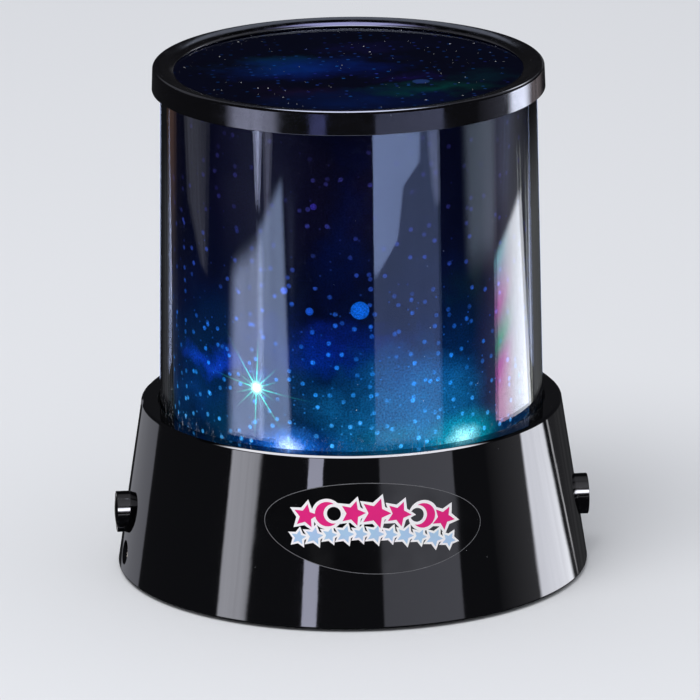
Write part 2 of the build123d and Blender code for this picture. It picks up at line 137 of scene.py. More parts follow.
# Turns a profile of (radius, height) points, in millimetres, about the z axis. It starts as a
# circle, and each further point is an extruded ring scaled to its radius.
def turnedPiece(name, profile, steps=roundSteps, closed=True):
    deselectAll()
    radius, height = profile[0]
    radius = max(radius, pole)
    bpy.ops.mesh.primitive_circle_add(vertices=steps, radius=radius * mm, location=(0, 0, height * mm))
    piece = named(bpy.context.object, name)
    bpy.ops.object.mode_set(mode="EDIT")
    bpy.ops.mesh.select_all(action="SELECT")
    for nextRadius, nextHeight in profile[1:]:
        move = {"value": (0, 0, (nextHeight - height) * mm)}
        bpy.ops.mesh.extrude_edges_move(TRANSFORM_OT_translate=move)
        nextRadius = max(nextRadius, pole)
        scale = nextRadius / radius
        bpy.ops.transform.resize(value=(scale, scale, 1), center_override=(0, 0, 0))
        radius, height = nextRadius, nextHeight
    if closed:
        ends = [(radius, height - profile[0][1]) for radius, height in (profile[0], profile[-1])]
        pickVertices(piece, lambda v: any(
            math.dist((v.co.xy.length / mm, v.co.z / mm), end) < touch for end in ends))
        bpy.ops.mesh.bridge_edge_loops()
    bpy.ops.mesh.select_all(action="SELECT")
    bpy.ops.mesh.remove_doubles(threshold=0.001 * mm)
    bpy.ops.mesh.normals_make_consistent(inside=False)
    bpy.ops.object.mode_set(mode="OBJECT")
    return settle(piece)


def rodProfile(radius, low, high):  # the profile of a plain disc or rod
    return [(0, low), (radius, low), (radius, high), (0, high)]


def turnOutwards(piece, angle, height):  # from standing on the z axis to pointing out at an angle
    piece.rotation_euler = (0, math.pi / 2, math.radians(angle))
    piece.location = (0, 0, height * mm)
    return settle(piece)


def cut(piece, cutter):
    applyModifier(piece, "BOOLEAN", operation="DIFFERENCE", object=cutter, solver="EXACT")
    bpy.data.objects.remove(cutter)


# Small helpers for materials


def srgb(code):  # a hex colour as the linear values that shaders take
    channels = [int(code[i:i + 2], 16) / 255 for i in (1, 3, 5)]
    return (*[c / 12.92 if c <= 0.04045 else ((c + 0.055) / 1.055) ** 2.4 for c in channels], 1.0)


def newMaterial(name):
    material = bpy.data.materials.new(name)
    material.use_nodes = True
    material.node_tree.nodes.clear()
    return material


def addNode(tree, kind, settings=None, inputs=None):
    node = tree.nodes.new("ShaderNode" + kind)
    for name, value in (settings or {}).items():
        setattr(node, name, value)
    for name, value in (inputs or {}).items():
        if isinstance(value, bpy.types.Node):
            value = value.outputs[0]
        if isinstance(value, bpy.types.NodeSocket):
            tree.links.new(value, node.inputs[name])
        else:
            node.inputs[name].default_value = value
    return node


def finishWith(material, settings):  # one Principled shader and the output
    tree = material.node_tree
    shader = addNode(tree, "BsdfPrincipled", None, settings)
    addNode(tree, "OutputMaterial", None, {"Surface": shader})
    return material


# Materials


def objectPlace(tree):
    return addNode(tree, "TexCoord").outputs["Object"]


def noiseOf(size):  # a noise texture's scale for features of that many millimetres
    return 1 / (size * mm)


# The place unrolled about the z axis and squeezed along the way round, for brushing lines
def brushedPlace(tree, place):
    parts = addNode(tree, "SeparateXYZ", None, {"Vector": place})
    flat = addNode(tree, "VectorMath", {"operation": "MULTIPLY"}, {0: place, 1: (1, 1, 0)})
    reach = addNode(tree, "VectorMath", {"operation": "LENGTH"}, {0: flat})
    turn = addNode(tree, "Math", {"operation": "ARCTAN2"}, {0: parts.outputs["X"], 1: parts.outputs["Y"]})
    around = addNode(tree, "Math", {"operation": "MULTIPLY"}, {0: turn, 1: mm})
    return addNode(tree, "CombineXYZ", None, {
        "X": around, "Y": reach.outputs["Value"], "Z": parts.outputs["Z"]}).outputs[0]


# Dark chrome plated on ABS: a near mirror, crisp but never quite flat, with a few dust specks
def darkChrome(name, look):
    material = newMaterial(name)
    tree = material.node_tree
    place = objectPlace(tree)
    ripple = addNode(tree, "TexNoise", None, {
        "Vector": place, "Scale": noiseOf(look["rippleSize"]), "Detail": 2.0, "Roughness": 0.5})
    swell = addNode(tree, "TexNoise", None, {
        "Vector": place, "Scale": noiseOf(look["swellSize"]), "Detail": 1.0})
    swellBump = addNode(tree, "Bump", None, {
        "Strength": 1.0, "Distance": look["swellHeight"] * mm, "Height": swell})
    bump = addNode(tree, "Bump", None, {
        "Strength": 1.0, "Distance": look["rippleHeight"] * mm, "Height": ripple, "Normal": swellBump})
    if "brushSize" in look:  # fine lines all the way round
        lines = addNode(tree, "TexNoise", None, {
            "Vector": brushedPlace(tree, place), "Scale": noiseOf(look["brushSize"]), "Detail": 3.0})
        bump = addNode(tree, "Bump", None, {
            "Strength": 1.0, "Distance": look["brushHeight"] * mm, "Height": lines, "Normal": bump})
    smear = addNode(tree, "TexNoise", None, {
        "Vector": place, "Scale": noiseOf(look["smearSize"]), "Detail": 3.0})
    roughness = addNode(tree, "MapRange", None, {
        "Value": smear, "From Min": 0.35, "From Max": 0.7,
        "To Min": look["roughness"], "To Max": look["smearRoughness"]})
    dust = addNode(tree, "TexVoronoi", {"feature": "F1"}, {
        "Vector": place, "Scale": noiseOf(look["dustSpacing"])})
    speck = addNode(tree, "Math", {"operation": "LESS_THAN"}, {
        0: dust.outputs["Distance"], 1: look["dustSize"] / look["dustSpacing"]})
    metal = addNode(tree, "Math", {"operation": "SUBTRACT"}, {0: 1.0, 1: speck})
    colour = addNode(tree, "Mix", {"data_type": "RGBA"}, {
        "Factor": speck, 6: srgb(look["colour"]), 7: srgb(look["dustColour"])})
    return finishWith(material, {
        "Base Color": colour.outputs[2], "Metallic": metal, "Roughness": roughness, "Normal": bump})


baseChrome = darkChrome("darkChromeOnAbs", {
    "colour": "#828287", "roughness": 0.03, "smearRoughness": 0.06, "smearSize": 9.0,
    "rippleSize": 1.6, "rippleHeight": 0.0018, "swellSize": 12.0, "swellHeight": 0.020,
    "dustColour": "#8a8a8e", "dustSpacing": 5.0, "dustSize": 0.09})
ringChrome = darkChrome("brushedDarkChrome", {
    "colour": "#828289", "roughness": 0.07, "smearRoughness": 0.16, "smearSize": 3.0,
    "rippleSize": 1.0, "rippleHeight": 0.0015, "swellSize": 9.0, "swellHeight": 0.016,
    "brushSize": 0.16, "brushHeight": 0.0008, "dustColour": "#b8b8c0", "dustSpacing": 4.0, "dustSize": 0.08})
buttonChrome = darkChrome("polishedDarkChrome", {
    "colour": "#9a9aa0", "roughness": 0.09, "smearRoughness": 0.15, "smearSize": 2.0,
    "rippleSize": 0.8, "rippleHeight": 0.001, "swellSize": 4.0, "swellHeight": 0.004,
    "dustColour": "#8a8a8e", "dustSpacing": 5.0, "dustSize": 0.06})


acrylicLook = {
    "colour": "#fafbff", "ior": 1.49, "markRoughness": 0.6,
    "dustTear": (0.25, 0.4),  # size and push of the flakes' ragged edges
    "dust": ((4.2, 0.09, 0.6, 0), (3.0, 0.15, 0.4, 123), (1.7, 0.07, 0.5, 123)),  # spacing, size, share, from
    "scratchSize": 0.9, "scratchEdge": (0.56, 0.68), "scuffDepth": 0.55, "scuffFrom": 41.5, "scuffTo": 45.5,
}


# Clear moulded acrylic, polished: sharp reflections on both faces, dust flakes that lie on the roof,
# and scuffs round the foot, where the cover is pushed into its seat
def clearAcrylic(look):
    material = newMaterial("clearAcrylic")
    tree = material.node_tree
    place = objectPlace(tree)
    height = addNode(tree, "SeparateXYZ", None, {"Vector": place}).outputs["Z"]
    marks = []
    tearSize, tearPush = look["dustTear"]
    ragged = addNode(tree, "TexNoise", None, {"Vector": place, "Scale": noiseOf(tearSize), "Detail": 1.0})
    dusty = addNode(tree, "VectorMath", {"operation": "MULTIPLY_ADD"}, {
        0: ragged.outputs["Color"], 1: (tearPush * mm,) * 3, 2: place})
    for spacing, size, share, low in look["dust"]:
        dust = addNode(tree, "TexVoronoi", {"feature": "F1"}, {"Vector": dusty, "Scale": noiseOf(spacing)})
        speck = addNode(tree, "Math", {"operation": "LESS_THAN"}, {
            0: dust.outputs["Distance"], 1: size / spacing})
        luck = addNode(tree, "SeparateColor", None, {"Color": dust.outputs["Color"]})
        kept = addNode(tree, "Math", {"operation": "LESS_THAN"}, {0: luck, 1: share})
        inside = addNode(tree, "Math", {"operation": "GREATER_THAN"}, {0: height, 1: low * mm})
        both = addNode(tree, "Math", {"operation": "MULTIPLY"}, {0: speck, 1: kept})
        marks.append(addNode(tree, "Math", {"operation": "MULTIPLY"}, {0: both, 1: inside}))
    streaks = addNode(tree, "Mapping", None, {
        "Vector": place, "Scale": (1, 1, 0.5), "Rotation": (0.3, 0.2, 0)})
    scratch = addNode(tree, "TexNoise", None, {
        "Vector": streaks, "Scale": noiseOf(look["scratchSize"]), "Detail": 6.0, "Roughness": 0.75,
        "Distortion": 1.2})
    scuff = addNode(tree, "MapRange", {"interpolation_type": "SMOOTHSTEP"}, {
        "Value": scratch, "From Min": look["scratchEdge"][0], "From Max": look["scratchEdge"][1],
        "To Min": 0.0, "To Max": look["scuffDepth"]})
    foot = addNode(tree, "MapRange", None, {
        "Value": height, "From Min": look["scuffFrom"] * mm, "From Max": look["scuffTo"] * mm,
        "To Min": 1.0, "To Max": 0.0})
    marks.append(addNode(tree, "Math", {"operation": "MULTIPLY"}, {0: scuff, 1: foot}))
    total = marks[0]
    for mark in marks[1:]:
        total = addNode(tree, "Math", {"operation": "MAXIMUM"}, {0: total, 1: mark})
    clear = addNode(tree, "Math", {"operation": "SUBTRACT"}, {0: 1.0, 1: total})
    roughness = addNode(tree, "Math", {"operation": "MULTIPLY"}, {0: total, 1: look["markRoughness"]})
    return finishWith(material, {
        "Base Color": srgb(look["colour"]), "Roughness": roughness, "IOR": look["ior"],
        "Transmission Weight": clear})


# A layer of round printed dots on a map in millimetres: one dot in each cell, of which a share
# is kept. Returns the dots' mask and two random numbers for each cell.
def dotLayer(tree, place, spacing, radius, share):
    cells = addNode(tree, "TexVoronoi", {"feature": "F1", "voronoi_dimensions": "2D"}, {
        "Vector": place, "Scale": 1 / spacing, "Randomness": 0.85})
    disc = addNode(tree, "MapRange", {"interpolation_type": "SMOOTHSTEP"}, {
        "Value": cells.outputs["Distance"], "From Min": 0.65 * radius / spacing,
        "From Max": 1.35 * radius / spacing, "To Min": 1.0, "To Max": 0.0})
    luck = addNode(tree, "SeparateColor", None, {"Color": cells.outputs["Color"]})
    kept = addNode(tree, "Math", {"operation": "LESS_THAN"}, {0: luck.outputs[0], 1: share})
    mask = addNode(tree, "Math", {"operation": "MULTIPLY"}, {0: disc, 1: kept})
    return mask.outputs[0], luck.outputs[1], luck.outputs[2]


# Adds light of one colour to a picture, where a mask is bright
def lighten(tree, picture, colour, mask):
    return addNode(tree, "Mix", {"data_type": "RGBA", "blend_type": "ADD", "clamp_factor": False}, {
        "Factor": mask, 6: picture, 7: colour}).outputs[2]


# A soft glow on the map, in millimetres: full at its middle and gone at the edge of an ellipse
def glowMask(tree, place, centre, wide, high, power, strength):
    spread = addNode(tree, "Mapping", {"vector_type": "TEXTURE"}, {
        "Vector": place, "Location": (*centre, 0), "Scale": (wide, high, 1)})
    far = addNode(tree, "VectorMath", {"operation": "LENGTH"}, {0: spread})
    near = addNode(tree, "MapRange", None, {
        "Value": far.outputs["Value"], "From Min": 0.0, "From Max": 1.0, "To Min": 1.0, "To Max": 0.0})
    fade = addNode(tree, "Math", {"operation": "POWER"}, {0: near, 1: power})
    return addNode(tree, "Math", {"operation": "MULTIPLY"}, {0: fade, 1: strength}).outputs[0]


# The map with its places pushed about, so that soft shapes on it get torn, cloudy edges
def tornPlace(tree, place, size, push):
    noise = addNode(tree, "TexNoise", {"noise_dimensions": "2D"}, {
        "Vector": place, "Scale": 1 / size, "Detail": 4.0, "Roughness": 0.6})
    middle = (0.5, 0.5, 0.5)
    offset = addNode(tree, "VectorMath", {"operation": "SUBTRACT"}, {0: noise.outputs["Color"], 1: middle})
    return addNode(tree, "VectorMath", {"operation": "MULTIPLY_ADD"}, {
        0: offset, 1: (push, push * 0.7, 0), 2: place}).outputs[0]


# One fine ray on each side of a bright point: a thin ellipse, brightest at its middle
def rayMask(tree, place, centre, angle, reach, width, strength):
    spread = addNode(tree, "Mapping", {"vector_type": "TEXTURE"}, {
        "Vector": place, "Location": (*centre, 0), "Rotation": (0, 0, math.radians(angle)),
        "Scale": (reach, width, 1)})
    parts = addNode(tree, "SeparateXYZ", None, {"Vector": spread})
    masks = []
    for axis, power in (("X", 1.5), ("Y", 1.0)):
        away = addNode(tree, "Math", {"operation": "ABSOLUTE"}, {0: parts.outputs[axis]})
        near = addNode(tree, "MapRange", None, {
            "Value": away, "From Min": 0.0, "From Max": 1.0, "To Min": 1.0, "To Max": 0.0})
        masks.append(addNode(tree, "Math", {"operation": "POWER"}, {0: near, 1: power}))
    both = addNode(tree, "Math", {"operation": "MULTIPLY"}, {0: masks[0], 1: masks[1]})
    return addNode(tree, "Math", {"operation": "MULTIPLY"}, {0: both, 1: strength}).outputs[0]


# A ramp of colours over a map's height in millimetres
def heightRamp(tree, height, stops):
    low, high = stops[0][0], stops[-1][0]
    level = addNode(tree, "MapRange", None, {"Value": height, "From Min": low, "From Max": high})
    ramp = addNode(tree, "ValToRGB", None, {"Fac": level})
    marks = ramp.color_ramp.elements
    for stop in stops[2:]:
        marks.new((stop[0] - low) / (high - low))
    for mark, (at, code) in zip(marks, stops):
        mark.position = (at - low) / (high - low)
        mark.color = srgb(code)
    return ramp.outputs[0]


filmSurface = {"Base Color": srgb("#020308"), "Roughness": 0.4, "IOR": 1.25}  # satin, and hardly a mirror

# The night sky on the sleeve's map: across from the front and up from the table, in millimetres.
# Clouds, and the painted glows of the lamps' light through the film, are (middle, half width, half height,
# power of the fade, colour).
sleeveLook = {
    "night": ((40, "#00152c"), (43, "#001f42"), (50, "#00264c"), (57, "#001a3e"), (63, "#00163a"),
              (69, "#000e30"), (76, "#020a2a"), (84, "#02061e"), (98, "#010318"), (122, "#010212")),
    "bands": 26.0, "drift": 9.0,  # the size of the waves in the sky, and how far they wander
    "cloudTear": (15.0, 26.0), "paintedGlowTear": (2.5, 3.0),  # size and push of the torn edges
    "clouds": (((-41, 60), 18, 5, 1.2, "#0634b4"), ((-12, 67), 24, 7, 1.3, "#001a78"),
               ((-50, 50), 18, 8, 1.5, "#001c4c"), ((4, 60), 30, 14, 1.4, "#001434"),
               ((12, 60), 22, 12, 1.5, "#001444"),
               ((27, 78), 9, 14, 1.5, "#00180c"), ((-24, 104), 24, 26, 1.2, "#0b0710"),
               ((3, 104), 12, 26, 1.2, "#0a050e"), ((-6, 92), 8, 34, 1.2, "#000526"),
               ((-34, 46), 12, 7, 1.5, "#002028"), ((10, 48), 25, 21, 1.2, "#1470a8"),
               ((66, 60), 18, 6, 1.3, "#0014b4"),
               ((108, 67), 24, 7, 1.3, "#001c80"), ((-92, 58), 22, 9, 1.5, "#00225c"),
               ((-124, 65), 18, 6, 1.3, "#0014b4"), ((90, 100), 26, 24, 1.2, "#0b0710"),
               ((-98, 98), 12, 30, 1.2, "#000526"), ((132, 50), 20, 9, 1.5, "#002838")),
    "paintedLampGlows": (((-19.6, 41.4), 19, 7, 2.0, "#0050c0"), ((-19.6, 41.4), 9.5, 7, 1.8, "#3898ff"),
              ((-19.6, 41.4), 4.4, 3.4, 1.5, "#f4fcff"), ((24.0, 42.6), 20, 10, 2.0, "#004070"),
              ((24.0, 42.0), 14, 8, 1.7, "#00b4a4"), ((24.0, 41.6), 6, 4, 1.5, "#c8ffff"),
              ((7.0, 44.5), 13, 4.0, 1.4, "#00402c"), ((84.0, 41.4), 19, 7, 2.0, "#0050c0"),
              ((84.0, 41.4), 7, 5, 1.6, "#60b0ff"), ((-84.0, 42.0), 20, 12, 2.0, "#006878"),
              ((-84.0, 41.6), 8, 5, 1.6, "#20d0c0"), ((134.0, 41.6), 20, 9, 2.0, "#2040c0"),
              ((134.0, 41.6), 6, 4, 1.6, "#a0b8ff"), ((-134.0, 41.6), 20, 9, 2.0, "#3028a8"),
              ((-134.0, 41.6), 6, 4, 1.6, "#a0a0ff")),
    "discs": (((-2.2, 75.9), 2.2, "#0a62d8"), ((-20.3, 80.2), 0.9, "#3f66e0"),
              ((-14.1, 75.5), 0.95, "#1450c4"), ((-12.9, 101.3), 0.8, "#26207a"),
              ((-86.0, 90.0), 1.6, "#0f55c8"), ((70.0, 70.0), 2.0, "#0d5ad0"), ((96.0, 96.0), 1.2, "#2b3bb0"),
              ((-104.0, 66.0), 2.2, "#0a62d8"), ((124.0, 78.0), 1.0, "#3f66e0")),
    "dotColours": ((40, "#48b4ff"), (56, "#1f8cf0"), (70, "#1a62d0"), (82, "#2444a4"), (98, "#282a70"),
                   (122, "#1c1840")),
    "dotLayers": (  # spacing, radius, share low down, share high up, strength
        (3.3, 0.50, 0.34, 0.10, 1.0), (4.9, 0.54, 0.55, 0.34, 1.0), (2.3, 0.24, 0.30, 0.12, 0.45)),
    "dotsThin": (50.0, 100.0),  # the dots get fewer between these heights
    "sparkGlows": ((2.4, 2.6, 6.0, "#c8fff0"), (6, 2.2, 1.0, "#208888")),  # radius, power, strength, colour
    "sparks": (((-27.8, 55.3), 0), ((63.0, 60.0), 17), ((-112.0, 58.0), 41)),
    "rays": ((87, 13.0, 2.4), (124, 10.0, 2.2), (124, 17.0, 0.5), (44, 8.5, 1.5), (171, 8.5, 1.5),
             (171, 17.0, 0.4), (20, 7.0, 1.3), (150, 6.0, 1.2), (66, 5.5, 1.1), (105, 6.0, 1.1)),
    "rayWidth": 0.24, "rayColour": "#3ce8c4",
    "grainSize": 0.45, "grain": (0.6, 1.4),
}


# Star-print film with lamps behind it: PET printed with a night sky, dark blue with pale dots
def starSleeve(look):
    material = newMaterial("starPrintFilm")
    tree = material.node_tree
    place = addNode(tree, "UVMap", {"uv_map": "film"}).outputs[0]
    height = addNode(tree, "SeparateXYZ", None, {"Vector": place}).outputs["Y"]
    wander = addNode(tree, "TexNoise", {"noise_dimensions": "2D"}, {
        "Vector": place, "Scale": 1 / look["bands"], "Detail": 3.0, "Roughness": 0.55})
    drift = addNode(tree, "MapRange", None, {
        "Value": wander, "From Min": 0.3, "From Max": 0.7, "To Min": -look["drift"], "To Max": look["drift"]})
    warped = addNode(tree, "Math", {"operation": "ADD"}, {0: height, 1: drift})
    picture = heightRamp(tree, warped, look["night"])
    torn = tornPlace(tree, place, *look["cloudTear"])
    for centre, wide, high, power, code in look["clouds"]:
        picture = lighten(tree, picture, srgb(code), glowMask(tree, torn, centre, wide, high, power, 1.0))
    frayed = tornPlace(tree, place, *look["paintedGlowTear"])
    # painted light: glows of the lamps behind the film, drawn into its picture
    for centre, wide, high, power, code in look["paintedLampGlows"]:
        picture = lighten(tree, picture, srgb(code), glowMask(tree, frayed, centre, wide, high, power, 1.0))
    colours = heightRamp(tree, height, look["dotColours"])
    for spacing, radius, shareLow, shareHigh, strength in look["dotLayers"]:
        share = addNode(tree, "MapRange", None, {
            "Value": height, "From Min": look["dotsThin"][0], "From Max": look["dotsThin"][1],
            "To Min": shareLow, "To Max": shareHigh})
        mask, luck, _ = dotLayer(tree, place, spacing, radius, share)
        bright = addNode(tree, "MapRange", None, {
            "Value": luck, "From Min": 0.0, "From Max": 1.0, "To Min": 0.3 * strength, "To Max": strength})
        dots = addNode(tree, "Math", {"operation": "MULTIPLY"}, {0: mask, 1: bright})
        picture = lighten(tree, picture, colours, dots)
    for centre, radius, code in look["discs"]:
        picture = lighten(tree, picture, srgb(code), glowMask(tree, place, centre, radius, radius, 0.12, 1.0))
    for centre, turn in look["sparks"]:
        for radius, power, strength, code in look["sparkGlows"]:
            glow = glowMask(tree, place, centre, radius, radius, power, strength)
            picture = lighten(tree, picture, srgb(code), glow)
        for angle, reach, strength in look["rays"] if turn == 0 else look["rays"][::2]:
            ray = rayMask(tree, place, centre, angle + turn, reach, look["rayWidth"], strength)
            picture = lighten(tree, picture, srgb(look["rayColour"]), ray)
    grain = addNode(tree, "TexNoise", {"noise_dimensions": "2D"}, {
        "Vector": place, "Scale": 1 / look["grainSize"], "Detail": 2.0})
    low, high = look["grain"]
    grainy = addNode(tree, "MapRange", None, {
        "Value": grain, "From Min": 0.3, "From Max": 0.7, "To Min": low, "To Max": high})
    final = addNode(tree, "Mix", {"data_type": "RGBA", "blend_type": "MULTIPLY", "clamp_factor": False}, {
        "Factor": 1.0, 6: picture, 7: grainy})
    # painted light: the whole picture glows as the film's own emission, standing in for the lamps' light
    # behind it
    return finishWith(material, {**filmSurface, "Emission Color": final.outputs[2], "Emission Strength": 1.0})


discLook = {
    "dark": "#020312", "light": "#03061c", "drift": 14.0, "cloudTear": (11.0, 24.0),
    "clouds": (((-9, 4), 27, 13, 1.3, "#001662"), ((0, -29), 30, 15, 1.3, "#00123c"),
               ((19, -19), 22, 8, 1.4, "#00342e"), ((14, -8), 12, 7, 1.4, "#0e0434"),
               ((-14, 6), 24, 12, 1.4, "#001c24"), ((-15, 13), 12, 6, 1.4, "#001a20"),
               ((-14, -19), 16, 8, 1.4, "#100416"), ((6, 22), 18, 9, 1.4, "#08062a"),
               ((32, -9), 12, 9, 1.4, "#00181c")),
    "dots": (3.0, 0.42, 0.45), "dotTones": ("#2c2890", "#1668c0"),
    # painted light: the dots are brightest round this point and fade away from it
    "dotLight": ((6, -4), 62, 62, 1.2, 0.8),  # the dots fade away from here
    "paleDisc": ((16.2, -12.4), 2.1, 2.1, 0.12, 0.6), "paleTone": "#2c4484",
}


# The round film under the roof, with the little light that reaches the top painted in as its own glow: deep
# navy with faint dots
def starDisc(look):
    material = newMaterial("starPrintDisc")
    tree = material.node_tree
    place = addNode(tree, "UVMap", {"uv_map": "film"}).outputs[0]
    drift = addNode(tree, "TexNoise", {"noise_dimensions": "2D"}, {
        "Vector": place, "Scale": 1 / look["drift"], "Detail": 3.0, "Roughness": 0.55})
    picture = addNode(tree, "Mix", {"data_type": "RGBA"}, {
        "Factor": drift, 6: srgb(look["dark"]), 7: srgb(look["light"])}).outputs[2]
    torn = tornPlace(tree, place, *look["cloudTear"])
    for centre, wide, high, power, code in look["clouds"]:
        picture = lighten(tree, picture, srgb(code), glowMask(tree, torn, centre, wide, high, power, 1.0))
    mask, luck, tint = dotLayer(tree, place, *look["dots"])
    # painted falloff of light over the dots
    lit = glowMask(tree, place, *look["dotLight"])
    bright = addNode(tree, "Math", {"operation": "MULTIPLY"}, {0: luck, 1: lit})
    dots = addNode(tree, "Math", {"operation": "MULTIPLY"}, {0: mask, 1: bright})
    low, high = look["dotTones"]
    dotColour = addNode(tree, "Mix", {"data_type": "RGBA"}, {"Factor": tint, 6: srgb(low), 7: srgb(high)})
    picture = lighten(tree, picture, dotColour.outputs[2], dots.outputs[0])
    picture = lighten(tree, picture, srgb(look["paleTone"]), glowMask(tree, place, *look["paleDisc"]))
    return finishWith(material, {**filmSurface, "Emission Color": picture, "Emission Strength": 1.0})


print("materials made")

# Base housing

baseLow, baseHigh = span("base_housing")
coverLow, coverHigh = span("clear_cover")
ringLow, ringHigh = span("top_ring")
housing = {
    "bottomRadius": 57.47, "rimHeight": baseLow.z, "landHeight": 42.0, "flare": 6.3, "wall": 2.2,
    "landBevel": 0.5, "recessDepth": 2.0, "recessGap": 0.35, "collarOuter": 42.05, "collarInner": 40.55,
    "deckThickness": 2.2, "wireHole": 6.0, "rimRound": 0.5, "rimCorner": 0.15, "edgeRound": 0.12}


def wallRadius(height):
    fall = housing["flare"] / (housing["landHeight"] - housing["rimHeight"])
    return housing["bottomRadius"] - fall * (height - housing["rimHeight"])


buttons = {
    "height": 14.7, "radius": 5.0, "gap": 0.2, "proud": 3.0, "round": 0.6, "dome": 0.5, "flangeRadius": 6.0,
    "flangeDepth": 6.9, "seatGap": 0.3, "flangeThickness": 1.1, "socketRadius": 2.05, "socketDepth": 6.0,
    "travel": 2.5, "boreFrom": 30, "steps": 96, "angles": {"left": 180, "right": 0, "back": 90}}
inlet = {"angle": 185.5, "height": 5.9, "bore": 3.0, "boreFrom": 40, "steps": 64}


def boreWall(shell, look, radius, angle):  # a round hole from inside the wall outwards
    profile = rodProfile(radius, look["boreFrom"], wallRadius(0))
    bore = turnedPiece("bore", profile, look["steps"], closed=False)
    cut(shell, turnOutwards(bore, angle, look["height"]))


def baseHousing():
    h = housing
    land, rim = h["landHeight"], h["rimHeight"]
    seat = land - h["recessDepth"]
    recess = coverHigh.x + h["recessGap"]
    under = seat - h["deckThickness"]
    profile = [
        (wallRadius(rim) - h["rimRound"], rim), (wallRadius(rim) - h["rimCorner"], rim + h["rimCorner"]),
        (wallRadius(rim + h["rimRound"]), rim + h["rimRound"]),
        (wallRadius(land - h["landBevel"]), land - h["landBevel"]),
        (wallRadius(land) - h["landBevel"], land), (recess, land), (recess, seat),
        (h["collarOuter"], seat), (h["collarOuter"], baseHigh.z), (h["collarInner"], baseHigh.z),
        (h["collarInner"], seat), (h["wireHole"], seat), (h["wireHole"], under),
        (wallRadius(under) - h["wall"], under), (wallRadius(rim) - h["wall"], rim)]
    shell = turnedPiece("baseHousing", profile)
    roundEdges(shell, h["edgeRound"])
    pattern = shell.copy()
    pattern.data = shell.data.copy()
    bpy.context.scene.collection.objects.link(pattern)
    for angle in buttons["angles"].values():
        boreWall(shell, buttons, buttons["radius"] + buttons["gap"], angle)
    boreWall(shell, inlet, inlet["bore"], inlet["angle"])
    # the wall keeps its smooth shading round the bores
    applyModifier(shell, "DATA_TRANSFER", object=pattern, use_loop_data=True,
                  data_types_loops={"CUSTOM_NORMAL"}, loop_mapping="POLYINTERP_NEAREST")
    bpy.data.objects.remove(pattern)
    return shell


base = baseHousing()
base.data.materials.append(baseChrome)
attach(base, "base")
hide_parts("base_housing")
print("base housing made")

# Cover, films and ring

cover = {"wall": 2.0, "roof": 2.0, "draft": 0.95, "edgeRound": 0.25}


def coverRadius(height):
    return coverHigh.x - math.tan(math.radians(cover["draft"])) * (height - coverLow.z)


def clearCover():
    foot, top = coverLow.z, coverHigh.z
    under = top - cover["roof"]
    profile = [
        (0, under), (coverRadius(under) - cover["wall"], under), (coverHigh.x - cover["wall"], foot),
        (coverHigh.x, foot), (coverRadius(top), top), (0, top)]
    piece = turnedPiece("clearCover", profile, closed=False)
    roundEdges(piece, cover["edgeRound"])
    return piece


shellPiece = clearCover()
shellPiece.data.materials.append(clearAcrylic(acrylicLook))
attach(shellPiece, "cover")
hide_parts("clear_cover")


def mapFilm(piece, position):  # the film's own map, in millimetres
    layer = piece.data.uv_layers.new(name="film")
    for face in piece.data.polygons:
        spots = [position(piece.data.vertices[v].co / mm) for v in face.vertices]
        wide = max(s[0] for s in spots) - min(s[0] for s in spots)
        for corner, spot in zip(face.loop_indices, spots):
            u = spot[0]
            if wide > math.pi * sleeveHigh.x and u < 0:  # the seam, at the back
                u += 2 * math.pi * sleeveHigh.x
            layer.data[corner].uv = (u, spot[1])


sleeveLow, sleeveHigh = span("star_film_sleeve")
discLow, discHigh = span("star_film_disc")
filmThickness = discHigh.z - discLow.z
outer, inner = sleeveHigh.x, sleeveHigh.x - filmThickness
sleeve = turnedPiece("starFilmSleeve", [
    (outer, sleeveLow.z), (outer, sleeveHigh.z), (inner, sleeveHigh.z), (inner, sleeveLow.z)])
smooth(sleeve)
mapFilm(sleeve, lambda co: (math.atan2(co.x, -co.y) * outer, co.z))
sleeve.data.materials.append(starSleeve(sleeveLook))
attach(sleeve, "cover")
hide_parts("star_film_sleeve")

disc = turnedPiece("starFilmDisc", rodProfile(discHigh.x, discLow.z, discHigh.z), closed=False)
smooth(disc)
mapFilm(disc, lambda co: (co.x, co.y))
disc.data.materials.append(starDisc(discLook))
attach(disc, "cover")
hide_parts("star_film_disc")

ring = {"bore": 45.483, "radius": ringHigh.x, "taper": 0.2, "landWidth": 3.3, "landDip": 0.3, "round": 0.8,
        "lipReach": 3.3, "lipRise": 0.4, "edgeRound": 0.12}


def topRing():
    low, high = ringLow.z, ringHigh.z
    roof = coverHigh.z
    topRadius = ring["radius"] - ring["taper"]
    lipRadius = ring["bore"] - ring["lipReach"]
    profile = [(ring["bore"], low), (ring["radius"], low)]
    edgeSteps = 8
    for step in range(edgeSteps + 1):  # the rounded outer top edge
        turn = math.pi / 2 * step / edgeSteps
        profile.append((topRadius - ring["round"] + ring["round"] * math.cos(turn),
                        high - ring["round"] + ring["round"] * math.sin(turn)))
    profile += [(topRadius - ring["landWidth"], high - ring["landDip"]),
                (lipRadius, roof + ring["lipRise"]), (lipRadius, roof), (ring["bore"], roof)]
    piece = turnedPiece("topRing", profile)
    roundEdges(piece, ring["edgeRound"])
    return piece


ringPiece = topRing()
ringPiece.data.materials.append(ringChrome)
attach(ringPiece, "cover")
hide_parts("top_ring")
print("cover, films and ring made")

# Buttons


